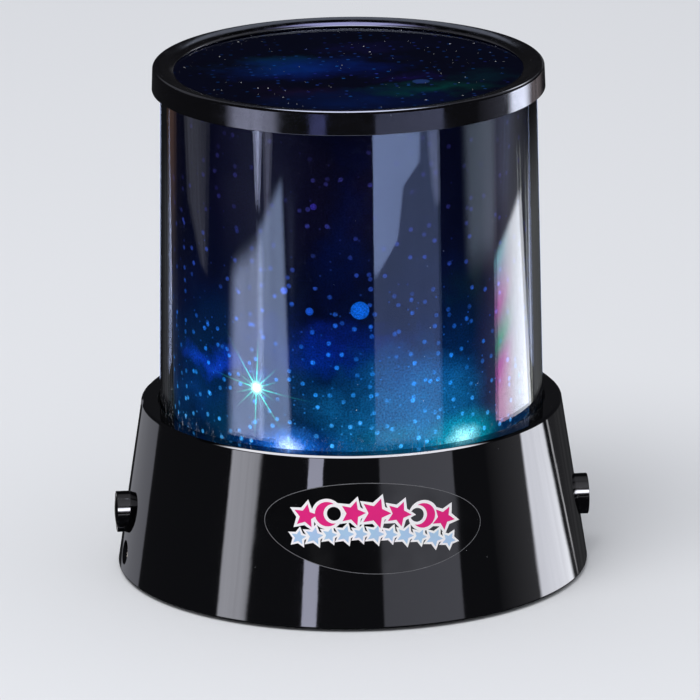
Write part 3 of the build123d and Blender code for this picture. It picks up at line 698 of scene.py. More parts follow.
def buttonCap(side):
    b = buttons
    end = wallRadius(b["height"]) + b["proud"]
    flangeOuter = wallRadius(b["height"]) - b["flangeDepth"] - b["seatGap"]
    flangeInner = flangeOuter - b["flangeThickness"]
    socketEnd = flangeInner + b["socketDepth"]
    profile = [(0, socketEnd), (b["socketRadius"], socketEnd), (b["socketRadius"], flangeInner),
               (b["flangeRadius"], flangeInner), (b["flangeRadius"], flangeOuter), (b["radius"], flangeOuter)]
    edge = b["radius"] - b["round"]
    domeRadius = (edge ** 2 + b["dome"] ** 2) / (2 * b["dome"])
    lean = math.asin(edge / domeRadius)
    edgeSteps, domeSteps = 6, 8
    for step in range(edgeSteps + 1):  # the rounded edge, up to where the dome begins
        share = step / edgeSteps
        turn = (math.pi / 2 - lean) * share
        profile.append((edge + b["round"] * (math.cos(turn) - math.sin(lean) * share),
                        end - b["dome"] + b["round"] * (math.sin(turn) - math.cos(lean) * share)))
    for step in range(1, domeSteps + 1):
        turn = lean * (domeSteps - step) / domeSteps
        profile.append((domeRadius * math.sin(turn), end - domeRadius + domeRadius * math.cos(turn)))
    piece = turnedPiece(f"button{side.title()}Cap", profile, b["steps"], closed=False)
    smooth(piece, 40)
    return turnOutwards(piece, b["angles"][side], b["height"])


buttonPieces = []
for side in buttons["angles"]:
    cap = buttonCap(side)
    cap.data.materials.append(buttonChrome)
    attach(cap, f"button_{side}")
    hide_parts(f"button_{side}_cap")
    buttonPieces.append(cap)
print("buttons made")

# Projection dome

dome = {"centre": 54.0, "radius": 36.05, "wall": 1.5, "flange": 4.2, "flangeThickness": 1.5,
        "starRows": ((14, 11, 3.6), (38, 8, 4.2), (62, 5, 3.4)),  # elevation, how many, star radius
        "starPoints": 5, "waist": 0.45, "moon": 5.0, "moonBite": 4.25, "moonShift": 2.75,
        "cutInside": 6, "cutOutside": 4,  # how far the window cutters reach past the shell
        "screwCircle": 38.15, "screwBore": 1.7, "screwAngles": (90, 210, 330),
        "steps": 192, "arcSteps": 40, "moonSteps": 48, "boreSteps": 24}


def starPrism(points, radius, waist, low, high):  # a star standing on the z axis, first point along +x
    deselectAll()
    bpy.ops.mesh.primitive_circle_add(vertices=2 * points, radius=radius * mm, fill_type="NGON",
                                      rotation=(0, 0, math.pi / 2), location=(0, 0, low * mm))
    star = bpy.context.object
    settle(star)
    bpy.ops.object.mode_set(mode="EDIT")
    step = math.pi / points
    pickVertices(star, lambda v: round((math.atan2(v.co.y, v.co.x) - math.pi / 2) / step) % 2)
    bpy.ops.transform.resize(value=(waist, waist, 1), center_override=(0, 0, 0))
    bpy.ops.mesh.select_all(action="SELECT")
    if high > low:
        bpy.ops.mesh.extrude_region_move(TRANSFORM_OT_translate={"value": (0, 0, (high - low) * mm)})
        bpy.ops.mesh.select_all(action="SELECT")
        bpy.ops.mesh.normals_make_consistent(inside=False)
    bpy.ops.object.mode_set(mode="OBJECT")
    return star


def projectionDome():
    d = dome
    foot = span("projection_dome")[0].z
    inside = d["radius"] - d["wall"]
    outerArc, innerArc = [], []
    for step in range(d["arcSteps"] + 1):
        turn = math.pi / 2 * step / d["arcSteps"]
        outerArc.append((d["radius"] * math.cos(turn), d["centre"] + d["radius"] * math.sin(turn)))
        innerArc.append((inside * math.cos(turn), d["centre"] + inside * math.sin(turn)))
    flangeTop = foot + d["flangeThickness"]
    profile = [(inside, foot), (d["radius"] + d["flange"], foot), (d["radius"] + d["flange"], flangeTop),
               (d["radius"], flangeTop)]
    shell = turnedPiece("projectionDome", profile + outerArc + innerArc[::-1], d["steps"])
    cutters = []
    for row, (elevation, count, radius) in enumerate(d["starRows"]):
        for index in range(count):
            star = starPrism(d["starPoints"], radius, d["waist"], d["radius"] - d["cutInside"],
                             d["radius"] + d["cutOutside"])
            turn = 2 * math.pi * (index + row / 2) / count
            star.matrix_world = (Matrix.Translation((0, 0, d["centre"] * mm)) @ Matrix.Rotation(turn, 4, "Z")
                                 @ Matrix.Rotation(math.radians(90 - elevation), 4, "Y")
                                 @ Matrix.Rotation(math.pi, 4, "Z"))
            cutters.append(star)
    top = d["centre"] + d["radius"]
    moonLow, moonHigh = top - d["cutInside"], top + d["cutOutside"]
    moon = turnedPiece("moon", rodProfile(d["moon"], moonLow, moonHigh), d["moonSteps"], closed=False)
    biteProfile = rodProfile(d["moonBite"], moonLow - 2, moonHigh + 2)
    bite = turnedPiece("bite", biteProfile, d["moonSteps"], closed=False)
    bite.location.x = d["moonShift"] * mm
    settle(bite)
    cut(moon, bite)
    cutters.append(moon)
    for angle in d["screwAngles"]:
        boreProfile = rodProfile(d["screwBore"], foot - 2, flangeTop + 1.5)
        bore = turnedPiece("bore", boreProfile, d["boreSteps"], closed=False)
        turn = math.radians(angle)
        bore.location = (d["screwCircle"] * mm * math.cos(turn), d["screwCircle"] * mm * math.sin(turn), 0)
        cutters.append(settle(bore))
    cut(shell, settle(joinAll(cutters)))
    smooth(shell, 30)
    return shell


domePiece = projectionDome()
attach(domePiece, "base")
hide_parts("projection_dome")
print("projection dome made")

# Label and its print

labelLow, labelHigh = span("front_label")
label = {"thickness": 0.15, "tilt": 3.0, "strip": 0.8, "height": (labelLow.z + labelHigh.z) / 2,
         "halfWidth": 25.88, "halfHeight": 10.85, "edge": 0.14, "steps": 160,
         "standOff": 70,  # shapes are drawn this far before the lamp's axis
         "lineSpacing": 0.45, "lineSlant": 35, "lineDepth": 0.0005, "patchSize": 7.0, "patchDepth": 0.012,
         "tones": ("#66666a", "#8c8c90"), "roughness": 0.09}


# Wraps a flat shape, drawn in the xz plane before the front, onto the base's wall: cut into upright
# strips, pressed back onto the wall and given its thickness
def wrapOnWall(piece, lift, thickness):
    settle(piece)
    bpy.ops.object.mode_set(mode="EDIT")
    width = max(abs(v.co.x) for v in bmesh.from_edit_mesh(piece.data).verts) / mm
    steps = int(width / label["strip"])
    for step in range(-steps, steps + 1):
        bpy.ops.mesh.select_all(action="SELECT")
        bpy.ops.mesh.bisect(plane_co=(step * label["strip"] * mm, 0, 0), plane_no=(1, 0, 0))
    bpy.ops.object.mode_set(mode="OBJECT")
    applyModifier(piece, "SHRINKWRAP", target=wallGuide, wrap_method="PROJECT", use_project_y=True,
                  use_negative_direction=False, use_positive_direction=True, offset=lift * mm)
    applyModifier(piece, "SOLIDIFY", thickness=thickness * mm, offset=1.0)
    smooth(piece, 40)
    return piece


def guideCone():  # the wall without its bores
    low, high = 2.0, 41.0
    return turnedPiece("guide", [(wallRadius(low), low), (wallRadius(high), high)], 720, closed=False)


wallGuide = guideCone()


def flatShape(shape):  # from lying in the xy plane at the origin to standing before the front
    shape.rotation_euler = (math.pi / 2, 0, 0)
    return settle(shape)


def placeOnLabel(shape, across, up, turn=0.0):  # places a shape, then turns it with the label
    shape.matrix_world = (Matrix.Translation((0, -label["standOff"] * mm, label["height"] * mm))
                          @ Matrix.Rotation(math.radians(label["tilt"]), 4, "Y")
                          @ Matrix.Translation((across * mm, 0, up * mm))
                          @ Matrix.Rotation(math.radians(turn), 4, "Y"))
    return settle(shape)


# Glossy clear-backed vinyl over the chrome: as bright as the chrome, with fine slanting lines
def labelFilm():
    material = newMaterial("glossVinylFilm")
    tree = material.node_tree
    place = objectPlace(tree)
    slant = addNode(tree, "Mapping", None, {
        "Vector": place, "Rotation": (0, math.radians(label["lineSlant"]), 0)})
    bandsPerUnit = 3.18  # of a wave texture
    lines = addNode(tree, "TexWave", {"wave_type": "BANDS", "bands_direction": "X"}, {
        "Vector": slant, "Scale": noiseOf(label["lineSpacing"]) / bandsPerUnit, "Distortion": 2.5,
        "Detail": 2.0, "Detail Scale": 0.3})
    patches = addNode(tree, "TexNoise", None, {
        "Vector": place, "Scale": noiseOf(label["patchSize"]), "Detail": 2.0})
    low, high = label["tones"]
    colour = addNode(tree, "Mix", {"data_type": "RGBA"}, {"Factor": patches, 6: srgb(low), 7: srgb(high)})
    bump = addNode(tree, "Bump", None, {
        "Strength": 1.0, "Distance": label["lineDepth"] * mm, "Height": lines})
    swell = addNode(tree, "Bump", None, {
        "Strength": 1.0, "Distance": label["patchDepth"] * mm, "Height": patches, "Normal": bump})
    return finishWith(material, {
        "Base Color": colour.outputs[2], "Metallic": 1.0, "Roughness": label["roughness"], "Normal": swell})


# The die-cut edge of the vinyl, where its pale core shows
def cutEdge():
    material = newMaterial("cutVinylEdge")
    tree = material.node_tree
    tone = addNode(tree, "TexNoise", None, {
        "Vector": objectPlace(tree), "Scale": noiseOf(2.0), "Detail": 3.0})
    colour = addNode(tree, "Mix", {"data_type": "RGBA"}, {
        "Factor": tone, 6: srgb("#4a4a4e"), 7: srgb("#7c7c80")})
    return finishWith(material, {"Base Color": colour.outputs[2], "Roughness": 0.5})


def frontLabel():
    deselectAll()
    bpy.ops.mesh.primitive_circle_add(vertices=label["steps"], radius=mm, fill_type="NGON")
    piece = named(bpy.context.object, "frontLabel")
    piece.scale = (label["halfWidth"], label["halfHeight"], 1)
    settle(piece)
    piece.data.materials.append(labelFilm())
    piece.data.materials.append(cutEdge())
    bpy.ops.object.mode_set(mode="EDIT")
    bpy.ops.mesh.select_mode(type="FACE")
    bpy.ops.mesh.select_all(action="SELECT")
    bpy.ops.mesh.inset(thickness=label["edge"] * mm)
    bpy.ops.mesh.select_all(action="INVERT")
    piece.active_material_index = 1
    bpy.ops.object.material_slot_assign()
    bpy.ops.object.mode_set(mode="OBJECT")
    placeOnLabel(flatShape(piece), 0, 0)
    return wrapOnWall(piece, 0.0, label["thickness"])


labelPiece = frontLabel()
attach(labelPiece, "base")
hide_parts("front_label")

labelPrint = {"lift": 0.15, "layer": 0.02, "pink": "#e5127d", "blue": "#a9c8e8", "outline": "#f6f3f5",
              "border": 0.75, "arch": 0.0060, "pitch": 5.5, "topRow": 3.7, "lowRow": -1.25,
              "motifs": (("star", 2.9), ("moon", 2.9), ("star", 3.1), ("star", 3.7), ("star", 3.1),
                         ("backMoon", 2.9), ("star", 2.9)),
              "starPoints": 5, "starWaist": 0.48, "moonBite": 0.8, "moonShift": 0.5, "moonNudge": 0.5,
              "moonSteps": 64,
              "smallStars": 11, "smallPitch": 3.6, "smallSizes": (1.75, 2.15), "smallBorder": 0.8,
              # how the white border, in millimetres, widens a star, its waist, and a moon's bite and shift
              "starGrow": 1.5, "waistGrow": 0.09, "smallWaistGrow": 0.1, "biteGrow": -0.9, "shiftGrow": 0.15}


def labelStar(radius, waist):
    return flatShape(starPrism(labelPrint["starPoints"], radius, waist, 0, 0))


def labelMoon(radius, bite, shift):
    moon = turnedPiece("moon", rodProfile(radius, -1, 1), labelPrint["moonSteps"], closed=False)
    biter = turnedPiece("biter", rodProfile(bite, -2, 2), labelPrint["moonSteps"], closed=False)
    biter.location.x = shift * mm
    settle(biter)
    cut(moon, biter)
    pickOnly(moon)
    bpy.ops.object.mode_set(mode="EDIT")
    pickFaces(moon, lambda f: f.normal.z < 0.5 or f.calc_center_median().z < 0)
    bpy.ops.mesh.delete(type="FACE")
    bpy.ops.object.mode_set(mode="OBJECT")
    moon.location.z = -mm
    settle(moon)
    return flatShape(moon)


# Joins overlapping flat shapes into one outline: they become short prisms, are united, and only the
# front of the result is kept
def uniteShapes(shapes):
    for shape in shapes:
        pickOnly(shape)
        bpy.ops.object.mode_set(mode="EDIT")
        bpy.ops.mesh.select_all(action="SELECT")
        bpy.ops.mesh.extrude_region_move(TRANSFORM_OT_translate={"value": (0, mm, 0)})
        bpy.ops.mesh.select_all(action="SELECT")
        bpy.ops.mesh.normals_make_consistent(inside=False)
        bpy.ops.object.mode_set(mode="OBJECT")
    united = shapes[0]
    for shape in shapes[1:]:
        applyModifier(united, "BOOLEAN", operation="UNION", object=shape, solver="EXACT")
        bpy.data.objects.remove(shape)
    pickOnly(united)
    bpy.ops.object.mode_set(mode="EDIT")
    pickFaces(united, lambda f: f.normal.y > -0.5)
    bpy.ops.mesh.delete(type="FACE")
    bpy.ops.object.mode_set(mode="OBJECT")
    return united


def printLayer(name, shapes, ink, layer):
    piece = named(joinAll(shapes), name)
    wrapOnWall(piece, labelPrint["lift"] + layer * labelPrint["layer"], labelPrint["layer"])
    piece.data.materials.append(ink)
    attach(piece, "base")


def archedPlaces(count, pitch, height):  # places along a shallow arch
    for index in range(count):
        across = (index - (count - 1) / 2) * pitch
        yield across, height - labelPrint["arch"] * across ** 2, 2 * math.degrees(labelPrint["arch"] * across)


def printedInk(name, code):  # screen-printed ink: flat and even, with a slight tooth
    material = newMaterial(name)
    tree = material.node_tree
    place = objectPlace(tree)
    tooth = addNode(tree, "TexNoise", None, {"Vector": place, "Scale": noiseOf(0.25), "Detail": 2.0})
    bump = addNode(tree, "Bump", None, {"Strength": 0.3, "Distance": 0.01 * mm, "Height": tooth})
    shade = addNode(tree, "Mix", {"data_type": "RGBA", "blend_type": "MULTIPLY"}, {
        "Factor": 0.12, 6: srgb(code), 7: addNode(tree, "TexNoise", None, {
            "Vector": place, "Scale": noiseOf(3.0)}).outputs["Color"]})
    return finishWith(material, {"Base Color": shade.outputs[2], "Roughness": 0.32, "Normal": bump})


def motifShape(kind, size, border):  # and how far it stands to the side
    p = labelPrint
    if kind == "star":
        return labelStar(size + border * p["starGrow"], p["starWaist"] + border * p["waistGrow"]), 0
    side = 1 if kind == "moon" else -1
    bite = size * p["moonBite"] + border * p["biteGrow"]
    shift = size * p["moonShift"] + border * p["shiftGrow"]
    return labelMoon(size + border, bite, side * shift), -side * p["moonNudge"]


def labelPrints():
    p = labelPrint
    pink, blue, outline = [], [], []
    for border, bucket in ((p["border"], outline), (0.0, pink)):
        places = archedPlaces(len(p["motifs"]), p["pitch"], p["topRow"])
        for (across, up, turn), (kind, size) in zip(places, p["motifs"]):
            shape, nudge = motifShape(kind, size, border)
            bucket.append(placeOnLabel(shape, across + nudge, up, turn))
    for border, bucket in ((p["border"] * p["smallBorder"], outline), (0.0, blue)):
        places = archedPlaces(p["smallStars"], p["smallPitch"], p["lowRow"])
        for index, (across, up, turn) in enumerate(places):
            star = labelStar(p["smallSizes"][index % 2] + border * p["starGrow"],
                             p["starWaist"] + border * p["smallWaistGrow"])
            bucket.append(placeOnLabel(star, across, up, turn))
    printLayer("labelPrintOutline", [uniteShapes(outline)], printedInk("whiteInk", p["outline"]), 0)
    printLayer("labelPrintPink", pink, printedInk("pinkInk", p["pink"]), 1)
    printLayer("labelPrintBlue", blue, printedInk("blueInk", p["blue"]), 1)


labelPrints()
bpy.data.objects.remove(wallGuide)
print("label and print made")

# Finishes of the pieces that stay as they are


# Moulded plastic: even colour with a fine spark-eroded grain
def mouldedPlastic(name, look):
    material = newMaterial(name)
    tree = material.node_tree
    place = objectPlace(tree)
    grain = addNode(tree, "TexNoise", None, {"Vector": place, "Scale": noiseOf(look["grain"]), "Detail": 3.0})
    bump = addNode(tree, "Bump", None, {"Strength": 1.0, "Distance": look["depth"] * mm, "Height": grain})
    tone = addNode(tree, "TexNoise", None, {"Vector": place, "Scale": noiseOf(12.0), "Detail": 2.0})
    colour = addNode(tree, "Mix", {"data_type": "RGBA"}, {
        "Factor": tone, 6: srgb(look["colour"]), 7: srgb(look["tone"])})
    roughness = addNode(tree, "MapRange", None, {
        "Value": grain, "To Min": look["roughness"] - 0.08, "To Max": look["roughness"] + 0.08})
    return finishWith(material, {"Base Color": colour.outputs[2], "Roughness": roughness, "Normal": bump,
                                 "IOR": look.get("ior", 1.53)})


# Plated or bare metal: fine scratches along one way and slight tarnish
def platedMetal(name, look):
    material = newMaterial(name)
    tree = material.node_tree
    place = objectPlace(tree)
    scratch = addNode(tree, "TexNoise", None, {
        "Vector": place, "Scale": noiseOf(look["grain"]), "Detail": 4.0})
    bump = addNode(tree, "Bump", None, {"Strength": 1.0, "Distance": look["depth"] * mm, "Height": scratch})
    tarnish = addNode(tree, "TexNoise", None, {"Vector": place, "Scale": noiseOf(2.5), "Detail": 3.0})
    colour = addNode(tree, "Mix", {"data_type": "RGBA"}, {
        "Factor": tarnish, 6: srgb(look["colour"]), 7: srgb(look["tone"])})
    return finishWith(material, {
        "Base Color": colour.outputs[2], "Metallic": 1.0, "Roughness": look["roughness"], "Normal": bump})


satinBlack = mouldedPlastic("mouldedBlackAbs", {
    "colour": "#141416", "tone": "#1b1b1e", "grain": 0.35, "depth": 0.012, "roughness": 0.45})
rubberBlack = mouldedPlastic("mouldedRubber", {
    "colour": "#1c1c1c", "tone": "#262524", "grain": 0.5, "depth": 0.02, "roughness": 0.75, "ior": 1.52})
whiteNylon = mouldedPlastic("mouldedNylon", {
    "colour": "#e8e6dc", "tone": "#dcd9cc", "grain": 0.4, "depth": 0.008, "roughness": 0.5})
blackEpoxy = mouldedPlastic("mouldedEpoxy", {
    "colour": "#191919", "tone": "#222222", "grain": 0.2, "depth": 0.01, "roughness": 0.55})
redSleeving = mouldedPlastic("extrudedPvc", {
    "colour": "#b5190f", "tone": "#a3140c", "grain": 0.6, "depth": 0.006, "roughness": 0.4})
capacitorSleeve = mouldedPlastic("shrinkSleeve", {
    "colour": "#14204a", "tone": "#101a3c", "grain": 0.8, "depth": 0.006, "roughness": 0.3})
zincPlate = platedMetal("zincPlatedSteel", {
    "colour": "#c9ccd0", "tone": "#b4b4aa", "grain": 0.3, "depth": 0.004, "roughness": 0.28})
nickelSpring = platedMetal("nickelPlatedSpringSteel", {
    "colour": "#cfccc4", "tone": "#bdb8ae", "grain": 0.25, "depth": 0.003, "roughness": 0.22})
nickelContact = platedMetal("nickelPlatedBrass", {
    "colour": "#d4cfc4", "tone": "#c6bfb0", "grain": 0.25, "depth": 0.003, "roughness": 0.2})


# Fibreglass board under green solder mask: woven ripple, and copper tracks that show through
def solderMask():
    material = newMaterial("solderMaskOnFibreglass")
    tree = material.node_tree
    place = objectPlace(tree)
    tracks = addNode(tree, "TexBrick", {"offset": 0.5}, {
        "Vector": place, "Scale": noiseOf(9.0), "Color1": (0, 0, 0, 1), "Color2": (0, 0, 0, 1),
        "Mortar": (1, 1, 1, 1), "Mortar Size": 0.06, "Mortar Smooth": 0.1})
    colour = addNode(tree, "Mix", {"data_type": "RGBA"}, {
        "Factor": tracks.outputs["Color"], 6: srgb("#0c4a26"), 7: srgb("#1d6a35")})
    weave = addNode(tree, "TexWave", None, {"Vector": place, "Scale": noiseOf(0.5), "Distortion": 0.5})
    height = addNode(tree, "Math", {"operation": "MULTIPLY_ADD"}, {
        0: weave, 1: 0.15, 2: tracks.outputs["Color"]})
    bump = addNode(tree, "Bump", None, {"Strength": 1.0, "Distance": 0.03 * mm, "Height": height})
    return finishWith(material, {"Base Color": colour.outputs[2], "Roughness": 0.3, "Normal": bump})


cellLook = {"body": "#1c3f4a", "band": "#b8733c", "bandWidth": 14}


# Cells in a plain printed jacket: a dark body with a copper-coloured band at the plus end. The
# middle cell lies the other way round.
def cellJacket(look):
    material = newMaterial("printedCellJacket")
    tree = material.node_tree
    place = objectPlace(tree)
    parts = addNode(tree, "SeparateXYZ", None, {"Vector": place})
    low, high = span("battery_cells")
    fromMiddle = addNode(tree, "Math", {"operation": "ABSOLUTE"}, {0: parts.outputs["X"]})
    outside = addNode(tree, "Math", {"operation": "GREATER_THAN"}, {
        0: fromMiddle, 1: (high.x - low.x) / 6 * mm})
    way = addNode(tree, "MapRange", None, {"Value": outside, "To Min": -1.0, "To Max": 1.0})
    along = addNode(tree, "Math", {"operation": "MULTIPLY"}, {0: parts.outputs["Y"], 1: way})
    band = addNode(tree, "Math", {"operation": "GREATER_THAN"}, {
        0: along, 1: (high.y - look["bandWidth"]) * mm})
    colour = addNode(tree, "Mix", {"data_type": "RGBA"}, {
        "Factor": band, 6: srgb(look["body"]), 7: srgb(look["band"])})
    scuff = addNode(tree, "TexNoise", None, {"Vector": place, "Scale": noiseOf(1.5), "Detail": 4.0})
    roughness = addNode(tree, "MapRange", None, {"Value": scuff, "To Min": 0.2, "To Max": 0.4})
    return finishWith(material, {"Base Color": colour.outputs[2], "Metallic": 0.6, "Roughness": roughness})


# Cast epoxy lens of a light, lit from inside
def castLens(name, code, power):
    material = newMaterial(name)
    tree = material.node_tree
    place = objectPlace(tree)
    haze = addNode(tree, "TexNoise", None, {"Vector": place, "Scale": noiseOf(1.2), "Detail": 2.0})
    glow = addNode(tree, "Mix", {"data_type": "RGBA"}, {"Factor": haze, 6: srgb(code), 7: srgb("#ffffff")})
    return finishWith(material, {"Base Color": srgb(code), "Roughness": 0.15, "IOR": 1.51,
                                 "Transmission Weight": 0.5, "Emission Color": glow.outputs[2],
                                 "Emission Strength": power})


domePiece.data.materials.append(satinBlack)
board = solderMask()
finishes = {
    "bottom_plate": satinBlack, "battery_door": satinBlack, "rubber_feet": rubberBlack,
    "dome_screws": zincPlate, "light_board_screws": zincPlate, "bottom_screws": zincPlate,
    "control_board_screws": zincPlate, "battery_door_screw": zincPlate, "light_board": board,
    "control_board": board, "light_wires": redSleeving, "battery_cells": cellJacket(cellLook),
    "battery_springs": nickelSpring, "battery_contacts": nickelContact, "control_chip": blackEpoxy,
    "control_capacitors": capacitorSleeve, "wire_header": whiteNylon, "dc_jack": nickelContact,
    "dc_jack_pin": nickelContact}
lights = {"white": ("#f4f8ff", 3.0), "red": ("#ff2a1c", 2.0), "green": ("#25e048", 2.0),
          "blue": ("#2a5cff", 3.0)}
for tone, (code, power) in lights.items():
    finishes[f"light_{tone}"] = castLens(f"castEpoxy{tone.title()}", code, power)
for side in buttons["angles"]:
    finishes[f"button_{side}_stem"] = whiteNylon
    finishes[f"button_{side}_switch"] = blackEpoxy


# A return spring, as a merged, smooth-shaded copy of its solid
def returnSpring(side):
    node = f"button_{side}_spring"
    name = f"button{side.title()}Spring"
    piece = named(bpy.data.objects.new(name, bpy.data.objects[node].data.copy()), name)
    bpy.context.scene.collection.objects.link(piece)
    pickOnly(piece)
    bpy.ops.object.mode_set(mode="EDIT")
    bpy.ops.mesh.select_all(action="SELECT")
    bpy.ops.mesh.remove_doubles(threshold=0.001 * mm)
    bpy.ops.object.mode_set(mode="OBJECT")
    smooth(piece, 40)
    piece.data.materials.clear()
    piece.data.materials.append(nickelSpring)
    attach(piece, "base")
    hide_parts(node)
    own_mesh(piece)


for side in buttons["angles"]:
    returnSpring(side)
for node, finish in finishes.items():
    for slot in bpy.data.objects[node].material_slots:
        slot.material = finish
print("finishes given")

# Studio

cameraAngle = 5.8  # degrees that the camera stands to the left of the front
studio = {
    "floorSize": 12, "floorColour": "#dcdde0", "floorRoughness": 0.9,
    "sky": ("#f2f4f8", 0.85),  # colour and strength for the camera and for dull surfaces
    "mirroredSky": ("#c8ccd8", 0.012),
    "lampPlace": (-0.5, -0.6, 1.5), "lampAim": (0, 0, 0.05), "lampSize": 1.0, "lampPower": 14}


def aroundObject(angle, distance, height):  # a place at an angle from the camera's side, to the right
    turn = math.radians(angle - cameraAngle)
    return Vector((math.sin(turn) * distance, -math.cos(turn) * distance, height))


floorMaterial = finishWith(newMaterial("matteBoard"), {
    "Base Color": srgb(studio["floorColour"]), "Roughness": studio["floorRoughness"]})
deselectAll()
bpy.ops.mesh.primitive_plane_add(size=studio["floorSize"])
floor = named(bpy.context.object, "floor")
floor.data.materials.append(floorMaterial)
floor.visible_glossy = False
floor.visible_transmission = False


# A light card that only shows in reflections, and lets the cards behind it through. Angles go round
# the object from the camera's side, and heights are in millimetres. A plain card is a box of (left,
# right, low, high), a crooked one has levels of (height, left, right), and a slanted one has corners
# of (angle, height): low left, low right, high left and high right. It stands at its distance, or
# has a reach from its low edge to its high one. It may be brighter at one side (across, up), fade at
# its sides (soft) and at its foot and top (fade), and be streaked as a crumpled reflector is.
def panel(name, look, distance, receivers):
    deselectAll()
    bpy.ops.mesh.primitive_grid_add(x_subdivisions=look.get("steps", 24), y_subdivisions=12, size=1)
    card = named(bpy.context.object, name)
    if "corners" in look:
        corners = [Vector(corner) for corner in look["corners"]]
    else:
        if "box" in look:
            left, right, low, high = look["box"]
            levels = ((low, left, right), (high, left, right))
        else:
            levels = look["levels"]
        corners = [Vector((side, height)) for height, *sides in levels for side in sides]
    spans = len(corners) // 2 - 1
    near, far = look.get("reach", (distance, distance))
    for vertex in card.data.vertices:
        across, up = vertex.co.x + 0.5, vertex.co.y + 0.5
        first = min(int(up * spans), spans - 1)
        lowLeft, lowRight, highLeft, highRight = corners[2 * first:2 * first + 4]
        spot = lowLeft.lerp(lowRight, across).lerp(highLeft.lerp(highRight, across), up * spans - first)
        vertex.co = aroundObject(spot.x, near + (far - near) * up, spot.y * mm)
    material = newMaterial(name + "Light")
    tree = material.node_tree
    flat = addNode(tree, "UVMap")
    place = addNode(tree, "SeparateXYZ", None, {"Vector": flat})
    power = look["power"]
    edges = {"X": look.get("soft", (0.03, 0.03)), "Y": look.get("fade", (0.03, 0.03))}
    lean = {"X": look.get("across", (1, 1)), "Y": look.get("up", (1, 1))}
    for axis, (start, end) in edges.items():
        rise = addNode(tree, "MapRange", {"interpolation_type": "SMOOTHSTEP"}, {
            "Value": place.outputs[axis], "From Min": 0.0, "From Max": start})
        fall = addNode(tree, "MapRange", {"interpolation_type": "SMOOTHSTEP"}, {
            "Value": place.outputs[axis], "From Min": 1 - end, "From Max": 1.0, "To Min": 1.0, "To Max": 0.0})
        slope = addNode(tree, "MapRange", None, {
            "Value": place.outputs[axis], "To Min": lean[axis][0], "To Max": lean[axis][1]})
        for factor in (rise, fall, slope):
            power = addNode(tree, "Math", {"operation": "MULTIPLY"}, {0: power, 1: factor})
    if "streaks" in look:
        count, depth = look["streaks"]
        stretch = addNode(tree, "Mapping", None, {"Vector": flat, "Scale": (count, 0.6, 1)})
        waves = addNode(tree, "TexNoise", {"noise_dimensions": "2D"}, {
            "Vector": stretch, "Scale": 1.0, "Detail": 3.0})
        streak = addNode(tree, "MapRange", None, {
            "Value": waves, "From Min": 0.36, "From Max": 0.64, "To Min": 1 - depth, "To Max": 1.0})
        power = addNode(tree, "Math", {"operation": "MULTIPLY"}, {0: power, 1: streak})
    colour = srgb(look["colour"])
    if "tints" in look:  # a pale rainbow along its left edge
        ramp = addNode(tree, "ValToRGB", None, {"Fac": place.outputs["Y"]})
        marks = ramp.color_ramp.elements
        for stop in look["tints"][2:]:
            marks.new(stop[0])
        for mark, (at, code) in zip(marks, look["tints"]):
            mark.position = at
            mark.color = srgb(code)
        edge = addNode(tree, "MapRange", {"interpolation_type": "SMOOTHSTEP"}, {
            "Value": place.outputs["X"], "From Min": 0.0, "From Max": look["tintWidth"]})
        colour = addNode(tree, "Mix", {"data_type": "RGBA"}, {"Factor": edge, 6: ramp, 7: colour}).outputs[2]
    glow = addNode(tree, "Emission", None, {"Color": colour, "Strength": power})
    clear = addNode(tree, "BsdfTransparent")
    both = addNode(tree, "AddShader", None, {0: glow, 1: clear})
    addNode(tree, "OutputMaterial", None, {"Surface": both})
    material.cycles.emission_sampling = "NONE"
    card.data.materials.append(material)
    card.visible_camera = False
    card.visible_diffuse = False
    card.visible_shadow = False
    group = bpy.data.collections.new(name + "Receivers")
    for piece in receivers:
        group.objects.link(piece)
    card.light_linking.receiver_collection = group


baseCards = {
    "leftWide": {"levels": ((-80, -67.9, -52.6), (60, -64.4, -44.4)), "colour": "#fbfcff", "power": 1.28,
        "soft": (0.1, 0.16), "across": (1.04, 0.8), "streaks": (5, 0.12)},
    "rightDim": {"levels": ((-80, 14.1, 53.2), (80, 13.1, 54.3)), "colour": "#f4f6ff", "power": 0.235,
        "across": (0.9, 1.06)},
    "rightBright": {"corners": ((98.5, -125), (137.5, -205), (99.0, -35), (121.5, -80)),
        "colour": "#fbfdff", "power": 2.65, "soft": (0.1, 0.12), "fade": (0.001, 0.001),
        "streaks": (4, 0.1)},
    "rightStreak": {"levels": ((-205, 139.5, 141.2), (-85, 124.4, 126.4)), "colour": "#ffffff",
        "power": 1.3, "soft": (0.3, 0.3), "fade": (0.3, 0.05), "streaks": (2, 0.5)},
    "rightGlow": {"box": (72, 101, -160, 40), "colour": "#ffffff", "power": 0.11, "soft": (0.1, 0.03),
        "across": (0.0, 1.0)},
    "farRightGlow": {"levels": ((-300, 132, 172), (20, 124, 172)), "colour": "#ffffff", "power": 0.045,
        "soft": (0.1, 0.6), "streaks": (8, 0.5)},
    "leftFaint": {"levels": ((-240, -152, -122), (40, -150, -118)), "colour": "#ffffff", "power": 0.022,
        "soft": (0.3, 0.3)},
    "backPlate": {"box": (172, 189, -240, 140), "colour": "#fbfdff", "power": 1.6, "soft": (0.2, 0.1),
        "streaks": (4, 0.2)},
    "backDim": {"box": (200, 236, -240, 140), "colour": "#f4f6ff", "power": 0.3, "soft": (0.05, 0.05)},
    "roomGlow": {"box": (-180, 180, -900, 900), "steps": 96, "colour": "#f0f2ff", "power": 0.013,
        "soft": (0.001, 0.001)},
    "overhead": {"box": (-110, 110, 1150, 1150), "reach": (0.12, 1.1), "colour": "#ffffff", "power": 3.4,
        "soft": (0.05, 0.05), "fade": (0.05, 0.3)},
}
